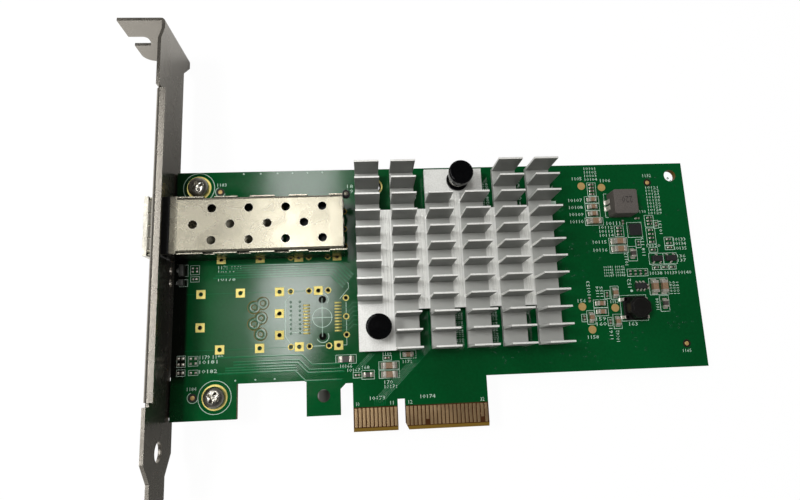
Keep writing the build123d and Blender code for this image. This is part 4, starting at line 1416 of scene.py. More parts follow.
# Middle, radius, and first and last angle.
PRINT_ARCS: Tuple[Tuple[Point2, float, float, float], ...] = (
    ((-46.1, 63.1), 1.3, 110.0, 340.0), ((-51.9, 10.0), 1.3, 110.0, 340.0),
    ((-19.6, 28.8), 2.5, 0.0, 360.0), ((-19.5, 33.45), 1.55, -40.0, 130.0),
    ((-19.5, 23.95), 1.55, 200.0, 390.0), ((63.0, 33.0), 0.28, 0.0, 360.0),
)

PRINT_DOTS: Tuple[Point2, ...] = (
    (63.0, 33.0), (-41.5, 13.8), (-36.5, 13.8), (-31.7, 13.8), (-40.0, 68.0), (-35.5, 68.0),
    (-31.0, 68.0), (-27.0, 68.0), (-23.0, 68.0), (-19.0, 68.0),
)

# A number, X and Y of its middle, and its width.
EDGE_NUMBERS: Tuple[Tuple[str, float, float, float], ...] = (
    ("10", -11.0, 6.75, 0.8), ("11", -2.4, 6.75, 0.8), ("12", 2.3, 6.75, 1.0),
    ("32", 20.7, 6.65, 1.0),
)

# Half length and half width of the lands, and where they are.
LIGHT_LANDS: Tuple[Tuple[Point2, Tuple[Point2, ...]], ...] = (
    ((0.4, 0.35), ((-55.7, 18.25), (-55.7, 19.75), (-54.5, 18.25), (-54.5, 19.75),
                   (-55.7, 16.2), (-54.5, 16.2))),
    ((0.3, 0.3), ((-52.6, 18.4), (-52.6, 19.6), (-51.4, 18.4), (-51.4, 19.6), (-52.5, 16.1),
                  (-51.3, 16.1))),
)

# Left, right, low and high side of each printed outline.
OUTLINE_BOXES: Tuple[Tuple[float, float, float, float], ...] = (
    (53.8, 56.2, 59.6, 63.4), (52.7, 56.7, 57.6, 59.45), (52.7, 56.7, 55.55, 57.45),
    (52.7, 56.7, 53.55, 55.4), (52.3, 57.3, 51.3, 53.4), (60.2, 62.7, 47.9, 50.9),
    (63.8, 67.9, 47.6, 51.8), (58.3, 63.4, 45.6, 47.6), (58.3, 63.4, 43.4, 45.4),
    (63.1, 65.7, 41.1, 45.1), (65.7, 67.1, 44.7, 47.0), (69.0, 71.5, 50.4, 53.7),
    (69.0, 71.5, 45.6, 50.1), (69.2, 71.6, 43.3, 44.7), (71.3, 72.7, 50.0, 52.2),
    (73.8, 76.3, 45.1, 47.4), (73.8, 76.3, 43.9, 45.0), (68.9, 72.9, 40.0, 43.0),
    (72.95, 76.7, 40.0, 43.0), (69.5, 71.8, 38.5, 39.7), (72.0, 74.1, 38.5, 39.7),
    (74.2, 76.2, 38.5, 39.7), (62.4, 68.1, 36.9, 38.9), (68.0, 73.2, 31.7, 36.2),
    (57.2, 59.4, 30.9, 34.4), (55.4, 56.9, 31.1, 33.3), (52.2, 56.0, 28.8, 30.9),
    (52.2, 56.0, 26.6, 28.7), (50.1, 52.3, 24.5, 28.1), (48.6, 50.0, 25.2, 27.2),
    (57.1, 59.3, 23.1, 26.9), (55.6, 56.8, 23.9, 26.1), (70.4, 72.9, 27.2, 31.4),
    (-16.3, -11.1, 16.9, 19.1), (-12.0, -9.8, 13.2, 14.6), (-9.8, -6.6, 12.8, 15.0),
    (-5.4, -0.2, 12.85, 14.8), (-5.4, -0.2, 15.0, 17.0), (-4.3, -2.1, 17.3, 18.5),
    (0.2, 4.2, 17.6, 19.6), (-56.0, -53.9, 40.6, 43.6), (-56.0, -53.9, 38.0, 39.8),
    (-53.3, -51.0, 41.0, 43.4), (-53.2, -51.0, 39.1, 40.5), (-56.0, -53.9, 17.6, 20.4),
    (-56.0, -53.9, 15.4, 17.0), (-53.2, -50.8, 17.8, 20.2), (-53.1, -50.7, 15.5, 16.8),
)

# Left, right, low and high side of each block of numbers, its rows, and whether it reads upwards.
LABEL_BLOCKS: Tuple[Tuple[float, float, float, float, int, bool], ...] = (
    (53.4, 56.9, 64.0, 67.9, 4, False), (49.8, 52.5, 64.2, 65.1, 1, False),
    (57.7, 60.6, 63.5, 64.4, 1, False), (48.2, 52.0, 58.0, 58.9, 1, False),
    (48.2, 52.0, 56.0, 56.9, 1, False), (48.2, 52.0, 54.0, 54.9, 1, False),
    (48.2, 51.8, 52.0, 52.9, 1, False), (58.2, 62.0, 51.2, 52.2, 1, False),
    (56.0, 59.8, 48.0, 51.0, 3, False), (53.8, 57.6, 46.1, 47.0, 1, False),
    (53.8, 57.6, 43.9, 44.8, 1, False), (62.1, 63.0, 40.0, 43.4, 1, True),
    (67.2, 68.1, 42.5, 47.5, 1, True), (68.7, 72.5, 44.75, 45.5, 1, False),
    (70.4, 74.2, 54.0, 62.0, 9, False), (67.9, 69.7, 54.4, 55.2, 1, False),
    (72.8, 73.6, 48.4, 52.0, 1, True), (70.0, 72.4, 64.7, 65.6, 1, False),
    (76.4, 79.8, 46.3, 47.2, 1, False), (76.4, 79.8, 45.1, 46.0, 1, False),
    (76.4, 79.8, 43.8, 44.7, 1, False), (76.9, 79.2, 40.5, 42.5, 2, False),
    (68.7, 76.2, 37.1, 38.0, 1, False), (76.7, 80.2, 37.1, 38.0, 1, False),
    (56.1, 61.8, 37.0, 39.9, 4, False), (73.6, 76.2, 31.8, 35.2, 3, True),
    (62.1, 63.1, 33.9, 36.3, 1, True), (50.8, 51.7, 32.2, 36.0, 1, True),
    (53.2, 55.1, 31.7, 34.5, 2, True), (48.0, 50.2, 30.3, 31.2, 1, False),
    (56.9, 59.2, 29.8, 30.7, 1, False), (49.8, 52.7, 20.7, 21.6, 1, False),
    (52.5, 55.2, 24.0, 26.3, 2, False), (55.7, 56.6, 20.4, 23.3, 1, True),
    (57.4, 58.3, 19.7, 22.7, 1, True), (61.3, 63.6, 23.7, 24.7, 1, False),
    (69.2, 70.1, 27.7, 30.7, 1, True), (75.0, 77.3, 16.3, 17.1, 1, False),
    (-15.2, -12.2, 15.8, 16.7, 1, False), (-13.4, -10.2, 14.8, 15.6, 1, False),
    (-9.7, -7.8, 15.3, 16.2, 1, False), (-4.3, -2.1, 18.6, 19.3, 1, False),
    (-4.1, -2.0, 11.4, 12.3, 1, False), (-4.1, -1.0, 10.3, 11.2, 1, False),
    (0.8, 3.1, 16.4, 17.2, 1, False), (-7.9, -4.1, 7.6, 8.5, 1, False),
    (4.9, 8.7, 7.5, 8.4, 1, False), (-46.2, -40.2, 42.2, 43.1, 1, False),
    (-46.2, -42.0, 41.0, 41.9, 1, False), (-46.2, -41.8, 39.1, 40.0, 1, False),
    (-50.4, -44.6, 19.4, 20.3, 1, False), (-50.4, -46.0, 18.2, 19.1, 1, False),
    (-50.4, -46.0, 15.9, 16.8, 1, False), (-46.9, -44.5, 64.6, 65.5, 1, False),
    (-53.3, -51.0, 11.7, 12.6, 1, False), (14.9, 16.9, 20.4, 28.8, 3, True),
    (24.0, 26.0, 21.0, 28.8, 3, True), (24.1, 26.1, 57.0, 64.0, 2, True),
    (33.2, 35.2, 57.4, 60.0, 2, False), (33.4, 35.0, 62.6, 65.2, 2, False),
    (43.0, 44.6, 55.4, 58.4, 2, False), (42.8, 44.4, 60.6, 62.8, 2, False),
    (-12.4, -10.8, 62.0, 64.4, 2, False), (4.4, 6.4, 60.0, 61.6, 2, False),
)


@dataclass
class Bracket:
    """The folded mounting bracket and the two screws that hold the board on it."""

    screw_places: Tuple[Point2, Point2] = SCREW_PLACES
    screw_turns: Point2 = (22.0, 61.0)
    screw_d: float = 2.9
    head_d: float = 5.4
    head_low: float = 0.05
    head_rim: float = 0.85
    head_top: float = 1.95
    dome_bend: float = 0.72
    recess_l: float = 3.3
    recess_w: float = 0.8
    recess_depth: float = 1.3
    recess_foot: float = 0.45
    tip: float = -3.43
    thread_pitch: float = 0.5
    thread_top: float = -1.6
    light_hole: float = 2.0
    light_hole_end: Point2 = (-57.0, 1.0)
    light_hole_l: float = 3.0
    light_ys: Point2 = (42.0, 38.85)

    def build(self) -> None:
        """Build the bracket and its screws."""
        self.sheet()
        self.screws()

    def sheet(self) -> None:
        """Build the folded sheet with broken edges and round holes for the lights."""
        width = self.light_hole * 1.04
        x, z = self.light_hole_end
        with Work("cutter") as work:
            work.stack((0, 0), ((width, 0.0), (width, self.light_hole_l)), 32)
        cutter = scattered(work.piece, [at(x, y, z) @ LAID for y in self.light_ys])
        piece = cut(copied_node("mounting_bracket"), cutter)
        piece = round_edges(piece, 0.13, 3, 40.0)
        dress(piece, "mounting_bracket_shown", STEEL, "mounting_bracket")

    def screws(self) -> None:
        """Build the pan-head screws with their cross recess and their thread."""
        rise = self.head_top - self.head_rim
        dome = [(max(0.3, self.head_d * across ** self.dome_bend), self.head_rim + rise * up)
                for across, up in quarter(9)]
        level = self.tip
        thread = [(self.screw_d - 0.9, level)]
        while level < self.thread_top:
            thread.append((self.screw_d - 0.35, level + 0.1))
            thread.append((self.screw_d, level + self.thread_pitch / 2))
            level += self.thread_pitch
        neck = [(self.screw_d - 0.3, self.thread_top + 0.1), (self.screw_d - 0.3, self.head_low)]
        head = [(self.head_d - 0.12, self.head_low), (self.head_d, self.head_low + 0.12)]
        with Work() as work:
            work.stack((0, 0), thread + neck + head + dome, 48)
        screw = work.piece
        half, side = self.recess_l / 2, -self.recess_w / 2
        foot = self.recess_foot * half
        low, high = self.head_top - self.recess_depth, self.head_top + 0.05
        above = self.head_top + 1
        for turn in (0.0, 90.0):
            with Work("cutter") as wing:
                wing.prism([(-foot, side, low), (foot, side, low), (half, side, high),
                            (half, side, above), (-half, side, above), (-half, side, high)],
                           (0.0, self.recess_w, 0.0))
            wing.piece.data.transform(at(0, 0, 0, turn))
            screw = cut(screw, wing.piece)
        round_edges(screw, 0.05, 2, 50.0)
        places = [at(x, y, 0, turn) for (x, y), turn in zip(self.screw_places, self.screw_turns)]
        dress(scattered(screw, places), "bracket_screws_shown", SCREW, "bracket_screws")


@dataclass
class Cage:
    """The transceiver cage with its collar, socket and leads."""

    centre_y: float = PORT_YS[1]
    top_z: float = 9.8
    hole_d: float = 2.1
    hole_pitch: float = 9.07
    first_hole_x: float = -45.7
    row_pitch: float = 4.05
    holes_per_row: int = 4
    rear_x: float = -13.4
    half_width: float = 7.275
    roll_steps: Tuple[Point2, ...] = ((1.9, -1.6), (1.9, -0.05), (1.7, 0.05), (1.3, 0.05),
                                      (1.1, -0.05), (1.1, -1.6))
    core_steps: Tuple[Point2, ...] = ((1.06, -1.6), (1.06, -0.07), (0.8, 0.03))
    band: Point2 = (-55.75, -54.1)
    # A dark strip of painted shade over the collar's spring fingers.
    collar_shade: Point2 = (-57.75, -55.8)
    band_rise: Point2 = (-0.02, 0.14)
    tab_ys: Point3 = (-4.6, 0.0, 4.6)
    tab_half: float = 1.1

    def build(self) -> None:
        """Build every piece of the cage."""
        self.cover()
        softened("cage_base", CAGE, 0.07, 2)
        softened("cage_spring_collar", COLLAR, 0.05, 2)
        softened("socket_housing", SOCKET, 0.1, 2)
        softened("socket_leads", SOLDER, 0.04, 1)
        self.rear_tabs()
        self.front_band()
        self.rolled_corner()

    def rolled_corner(self) -> None:
        """Roll the end of the cover's latch at its far rear corner, the roll painted dark as shade
        round its plated core.
        """
        place = (self.rear_x + 0.95, self.centre_y + self.half_width - 0.15)
        with Work() as work:
            work.hoop(place, [(width, self.top_z + rise) for width, rise in self.roll_steps], 32)
        # The roll's dark socket finish is painted shade on rolled steel.
        dress(smooth(work.piece, 50.0), "cage_rolled_corner", SOCKET)
        with Work() as work:
            work.stack(place, [(width, self.top_z + rise) for width, rise in self.core_steps], 24)
        dress(smooth(work.piece, 50.0), "cage_rolled_core", CAGE)

    def front_band(self) -> None:
        """Wrap the grounding band round the cage, just inside the bracket, with a dark strip of
        painted shade beside it over the collar's spring fingers.
        """
        reach = self.half_width - 0.05
        low, high = (self.top_z + rise for rise in self.band_rise)
        # The second strip, in the dark socket finish, is painted shade.
        for name, (left, right), finish in (("cage_front_band", self.band, CAGE),
                                            ("cage_collar_shade", self.collar_shade, SOCKET)):
            with Work() as work:
                work.block((left, self.centre_y - reach, low), (right, self.centre_y + reach, high))
            dress(round_edges(work.piece, 0.06, 2), name, finish)

    def cover(self) -> None:
        """Build the cover with round holes."""
        width = self.hole_d * 1.04
        steps = ((width, self.top_z - 0.6), (width, self.top_z + 1))
        with Work("cutter") as work:
            for row, shift in ((-1, 0.0), (0, -self.hole_pitch / 2), (1, 0.0)):
                for index in range(self.holes_per_row):
                    x = self.first_hole_x + shift + index * self.hole_pitch
                    work.stack((x, self.centre_y + row * self.row_pitch), steps, 36)
        piece = cut(copied_node("cage_cover"), work.piece)
        dress(round_edges(piece, 0.1, 2, 50.0), "cage_cover_shown", CAGE, "cage_cover")

    def rear_tabs(self) -> None:
        """Fold the small latch tabs of the cover over the rear edge of the base."""
        with Work() as work:
            for y in self.tab_ys:
                centre = self.centre_y + y
                work.block((self.rear_x + 0.02, centre - self.tab_half, self.top_z - 2.6),
                           (self.rear_x + 0.3, centre + self.tab_half, self.top_z - 0.5))
        dress(round_edges(work.piece, 0.08, 2), "cage_rear_tabs", CAGE)


@dataclass
class Heatsink:
    """The finned heatsink, the push pins through it and the chip under it."""

    base_top: float = 4.2
    left_x: float = -10.25
    columns: int = 6
    column_pitch: float = 9.18
    fin_w: float = 6.2
    rows: int = 12
    row_pitch: float = 4.218
    first_fin_y: float = 20.0
    fin_top: float = 13.0
    draft: float = 0.15
    slot_low: float = 29.8
    slot_high: float = 56.0
    bare_low: float = 31.6
    bare_high: float = 60.0
    ridges: Tuple[Point2, ...] = ((0.62, 0.13), (1.02, 0.09), (1.5, 0.15), (1.95, 0.1),
                                  (2.42, 0.13))
    pin_places: Tuple[Point2, Point2] = PUSH_PLACES
    head_low: float = 9.3
    head_d: float = 6.3
    rim_r: float = 0.5
    head_h: float = 2.3
    shaft_d: float = 2.7
    barb_d: float = 3.6
    barb_z: float = -1.67
    tip_d: float = 1.6
    tip_l: float = 2.0
    slit: float = 0.6
    collar_d: float = 5.8
    collar_t: float = 0.7
    coil_d: float = 4.3
    wire_d: float = 0.5
    turns: int = 3

    def build(self) -> None:
        """Build the heatsink, its pins and the chip."""
        piece = self.drafted(copied_node("heatsink"))
        dress(round_edges(piece, 0.07, 2), "heatsink_shown", ALLOY, "heatsink")
        self.milling_ridges()
        self.push_pins()
        self.collars()
        self.springs()
        softened("controller_substrate", SUBSTRATE, 0.05, 1)
        softened("controller_lid", LID, 0.12, 2)
        softened("thermal_pad", THERMAL, 0.06, 2)

    def drafted(self, piece: Piece) -> Piece:
        """Draw the top of every fin in from both faces, and hand the heatsink back."""
        take(piece)
        bpy.ops.object.mode_set(mode="EDIT")
        for row in range(self.rows):
            centre = self.first_fin_y + row * self.row_pitch
            for side in (-1, 1):
                bpy.ops.mesh.select_all(action="DESELECT")
                mesh = bmesh.from_edit_mesh(piece.data)
                for vertex in mesh.verts:
                    offset = (vertex.co.y / MM - centre) * side
                    vertex.select_set(vertex.co.z > (self.fin_top - 0.1) * MM and 0 < offset < 1)
                mesh.select_flush_mode()
                bmesh.update_edit_mesh(piece.data)
                bpy.ops.transform.translate(value=(0.0, -side * self.draft * MM, 0.0))
        bpy.ops.object.mode_set(mode="OBJECT")
        return piece

    def milling_ridges(self) -> None:
        """Raise the fine tool marks that run along the channels between the fin columns."""
        slotted = self.slot_high - 0.4
        foot = self.base_top - 0.02
        with Work() as work:
            for gap in range(self.columns - 1):
                left = self.left_x + self.fin_w + gap * self.column_pitch
                low = self.slot_low + 0.4 if gap else self.bare_low
                high = self.bare_high if gap == 2 else slotted
                for step, width in self.ridges:
                    x = left + step
                    points = [(x - width, low, foot), (x, low, self.base_top + width),
                              (x + width, low, foot)]
                    work.prism(points, (0.0, high - low, 0.0))
        dress(work.piece, "milling_ridges", ALLOY)

    def push_pins(self) -> None:
        """Build the pins: a flat head with a rounded rim, a shaft and a slit barb."""
        top = self.head_low + self.head_h
        dome = [(self.head_d - 2 * self.rim_r * (1 - across), top - self.rim_r * (1 - up))
                for across, up in quarter(6)]
        profile = [(self.tip_d, self.barb_z - self.tip_l), (self.tip_d + 0.3, self.barb_z - 1.85),
                   (self.barb_d - 0.1, self.barb_z - 0.12), (self.barb_d, self.barb_z),
                   (self.shaft_d, self.barb_z), (self.shaft_d, self.head_low),
                   (self.head_d - 0.3, self.head_low), (self.head_d, self.head_low + 0.15)]
        with Work() as work:
            work.stack((0, 0), profile + dome, 56)
        with Work("cutter") as slot:
            slot.block((-self.slit / 2, -4, self.barb_z - 3), (self.slit / 2, 4, 0))
        pin = smooth(cut(work.piece, slot.piece), 40.0)
        dress(self.at_pins(pin), "push_pins_shown", PIN, "push_pins")

    def at_pins(self, model: Piece) -> Piece:
        """Copy a model to both push pins."""
        return scattered(model, [at(x, y) for x, y in self.pin_places])

    def collars(self) -> None:
        """Build the collars that the springs stand on."""
        outer, inner = self.collar_d, self.shaft_d + 0.4
        low, high = self.base_top, self.base_top + self.collar_t
        with Work() as work:
            work.hoop((0, 0), ((outer, low), (outer, high - 0.12), (outer - 0.2, high),
                               (inner + 0.1, high), (inner, high - 0.06), (inner, low)), 48)
        dress(smooth(self.at_pins(work.piece)), "push_pin_collars_shown", PIN, "push_pin_collars")

    def springs(self) -> None:
        """Wind the springs between the collars and the heads."""
        low = self.base_top + self.collar_t + self.wire_d / 2 + 0.02
        high = self.head_low - self.wire_d / 2 - 0.02
        sides = 24
        radius = self.coil_d / 2
        many = self.turns * sides
        points = []
        for index in range(many + 1):
            angle = math.tau * index / sides
            points.append((radius * math.cos(angle), radius * math.sin(angle),
                           low + (high - low) * index / many))
        with Work() as work:
            work.chain(points)
        coil = smooth(tubes(work.piece, self.wire_d, 2), 50.0)
        dress(self.at_pins(coil), "push_pin_springs_shown", SPRING, "push_pin_springs")


@dataclass
class ChipParts:
    """Chip components of one kind: a body, two plated ends and the solder at their feet."""

    kind: str
    finish: Finish
    rounding: float = 0.06
    solder_reach: float = 0.32
    solder_rise: float = 0.62

    def build(self) -> None:
        """Build the bodies and the ends."""
        ends = islands(self.kind + "_ends")
        lots: Dict[Tuple[float, float], List[Tuple[Box, Box]]] = {}
        for body in islands(self.kind + "_bodies"):
            mate = min(ends, key=lambda box: (box.centre - body.centre).length)
            lots.setdefault(self.level_size(body, mate), []).append((body, mate))
        shown_bodies = []
        shown_ends = []
        for size in sorted(lots):
            lot = lots[size]
            places = [at(body.centre.x, body.centre.y, 0, 90.0 * self.axis(body, mate))
                      for body, mate in lot]
            shown_bodies.append(scattered(self.body(size, lot[0][0]), places))
            shown_ends.append(scattered(self.end_pair(self.reaches(*lot[0])), places))
        name = self.kind + "_bodies"
        dress(joined(shown_bodies), name + "_shown", self.finish, name)
        name = self.kind + "_ends"
        dress(joined(shown_ends), name + "_shown", SOLDER, name)

    @staticmethod
    def axis(body: Box, mate: Box) -> int:
        """Return 1 where a part lies along Y and 0 where it lies along X."""
        offset = mate.centre - body.centre
        return int(abs(offset.y) > abs(offset.x))

    def level_size(self, body: Box, mate: Box) -> Point2:
        """Return a body's size along the part and across it."""
        axis = self.axis(body, mate)
        return round(body.size[axis], 2), round(body.size[1 - axis], 2)

    def reaches(self, body: Box, mate: Box) -> Tuple[float, float, float, float]:
        """Measure the ends of one body.

        Args:
            body: the body.
            mate: its nearest end.

        Returns:
            Inner and outer distance from the middle, half width, and height.
        """
        axis = self.axis(body, mate)
        sides = sorted(abs(corner[axis] - body.centre[axis]) for corner in (mate.low, mate.high))
        return sides[0], sides[1], mate.size[1 - axis] / 2, mate.high.z

    def body(self, flat: Point2, box: Box) -> Piece:
        """Model one body along X."""
        length, width = flat
        with Work() as work:
            work.block((-length / 2, -width / 2, box.low.z), (length / 2, width / 2, box.high.z))
        return round_edges(work.piece, self.rounding * 0.6 * width, 2)

    def end_pair(self, sizes: Tuple[float, float, float, float]) -> Piece:
        """Model both ends along X, with a hollow slope of solder at each foot.

        Args:
            sizes: inner and outer distance from the middle, half width, and height.

        Returns:
            The pair.
        """
        inner, outer, half, height = sizes
        with Work() as caps:
            for side in (-1, 1):
                caps.block((min(side * inner, side * outer), -half, 0),
                           (max(side * inner, side * outer), half, height))
        round_edges(caps.piece, self.rounding * 1.6 * half, 2)
        reach = self.solder_reach * height + 0.05
        rise = self.solder_rise * height
        with Work() as feet:
            for side in (-1, 1):
                slope = ((outer - 0.05, rise), (outer + 0.12 * reach, 0.55 * rise),
                         (outer + 0.42 * reach, 0.2 * rise), (outer + reach, 0.03),
                         (outer + reach, 0.0), (outer - 0.05, 0.0))
                points = [(side * x, -half * 0.96, z) for x, z in slope]
                feet.prism(points, (0.0, 2 * half * 0.96, 0.0))
        smooth(feet.piece, 50.0)
        return joined([caps.piece, feet.piece])


@dataclass
class Packages:
    """The regulator, the six-lead chip and the transistors."""

    kinds: Tuple[Tuple[str, str, float, int, Tuple[Point2, ...]], ...] = (
        ("regulator_chip", "regulator_leads", 0.02, 1, ((64.7, 50.8),)),
        ("switcher_chip", "switcher_leads", 0.04, 2, ()),
        ("transistor_bodies", "transistor_leads", 0.04, 2, ()))

    def build(self) -> None:
        """Build the packages with their leads."""
        for body, leads, width, segments, dots in self.kinds:
            self.marked(body, dots)
            softened(leads, SOLDER, width, segments)

    def marked(self, node: str, dots: Sequence[Point2]) -> None:
        """Build a moulded body with a dish at each dot, or else at its first lead."""
        boxes = islands(node)
        spots = dots or [(box.low.x + 0.45, box.low.y + 0.4) for box in boxes]
        top = boxes[0].high.z
        with Work("cutter") as work:
            for spot in spots:
                work.stack(spot, ((0.3, top - 0.04), (0.4, top + 0.5)), 16)
        piece = cut(copied_node(node), work.piece)
        dress(round_edges(piece, 0.05, 2), node + "_shown", CHIP, node)


@dataclass
class Inductors:
    """The pressed power inductor and the drum inductor."""

    choke_at: Point2 = (62.15, 56.65)
    choke_top: float = 4.85
    drum_x: float = 63.1
    between_y: float = 40.0
    tab_gap: float = 0.28
    tab_reach: float = 0.42
    clip_spread: float = 2.35
    clip_half: float = 0.42
    solder_steps: Tuple[Point2, ...] = ((-0.05, 0.75), (0.12, 0.35), (0.4, 0.1), (0.75, 0.03),
                                        (0.75, 0.0), (-0.05, 0.0))

    def build(self) -> None:
        """Build both inductors."""
        softened("power_inductor_body", CHOKE, 0.22, 3)
        self.choke_terminals()
        softened("drum_inductor_base", DRUM, 0.12, 2)
        softened("drum_inductor_core", DRUM, 0.2, 3)
        self.drum_clips()
        marks = Numbers("inductor_numbers", DARK_MARK, self.choke_top)
        x, y = self.choke_at
        marks.put("220", x - 1.15, x + 1.75, y - 0.5, y + 1.3, 180.0)
        marks.build()
        self.solder()

    def choke_terminals(self) -> None:
        """Build the power inductor's terminals, each split into two tabs outside the body."""
        node = "power_inductor_terminals"
        with Work("cutter") as work:
            for box in islands(node):
                x, y = box.low.x if box.centre.x < self.choke_at[0] else box.high.x, box.centre.y
                work.block((x - self.tab_reach, y - self.tab_gap, -0.5),
                           (x + self.tab_reach, y + self.tab_gap, box.high.z + 0.5))
        piece = cut(copied_node(node), work.piece)
        dress(round_edges(piece, 0.05, 2), node + "_shown", SOLDER, node)

    def choke_tabs(self) -> List[Box]:
        """Return the boxes of the tabs of the power inductor's terminals."""
        boxes = []
        for box in islands("power_inductor_terminals"):
            middle = box.centre.y
            boxes.append(Box(box.low, Vector((box.high.x, middle - self.tab_gap, box.high.z))))
            boxes.append(Box(Vector((box.low.x, middle + self.tab_gap, box.low.z)), box.high))
        return boxes

    def clip_boxes(self) -> List[Box]:
        """Return the boxes of the two ends of each of the drum inductor's clips."""
        boxes = []
        for box in islands("drum_inductor_terminals"):
            for side in (-1, 1):
                middle = box.centre.y + side * self.clip_spread
                low = Vector((box.low.x, middle - self.clip_half, box.low.z))
                high = Vector((box.high.x, middle + self.clip_half, box.high.z))
                boxes.append(Box(low, high))
        return boxes

    def drum_clips(self) -> None:
        """Build the drum inductor's clips, which show at the corners of its base."""
        with Work() as work:
            for box in self.clip_boxes():
                work.block(box.low, box.high)
        name = "drum_inductor_terminals"
        dress(round_edges(work.piece, 0.05, 2), name + "_shown", SOLDER, name)

    def solder(self) -> None:
        """Run solder along the feet of both inductors."""
        with Work() as work:
            for box in self.choke_tabs() + self.clip_boxes():
                middle = self.choke_at[0] if box.centre.y > self.between_y else self.drum_x
                side, face = (1, box.high.x) if box.centre.x > middle else (-1, box.low.x)
                points = [(face + side * reach, box.low.y, z) for reach, z in self.solder_steps]
                work.prism(points, (0.0, box.size.y, 0.0))
        dress(smooth(work.piece, 50.0), "inductor_solder", SOLDER)


@dataclass
class Lights:
    """The two side-looking indicator lights."""

    lens_d: float = 1.2
    lens_foot: float = 0.3
    lens_out: float = 0.7

    def build(self) -> None:
        """Build the housings and the domed lenses."""
        softened("indicator_housings", LIGHT_BODY, 0.06, 2)
        rise = self.lens_out - self.lens_foot
        dome = [(max(0.1, self.lens_d * across), self.lens_foot + rise * up)
                for across, up in quarter(6)]
        with Work() as work:
            work.stack((0, 0), [(self.lens_d, 0.0)] + dome, 28)
        lens = smooth(work.piece, 50.0)
        places = [at(box.high.x, box.centre.y, box.centre.z) @ LAID
                  for box in islands("indicator_lenses")]
        dress(scattered(lens, places), "indicator_lenses_shown", LENS, "indicator_lenses")


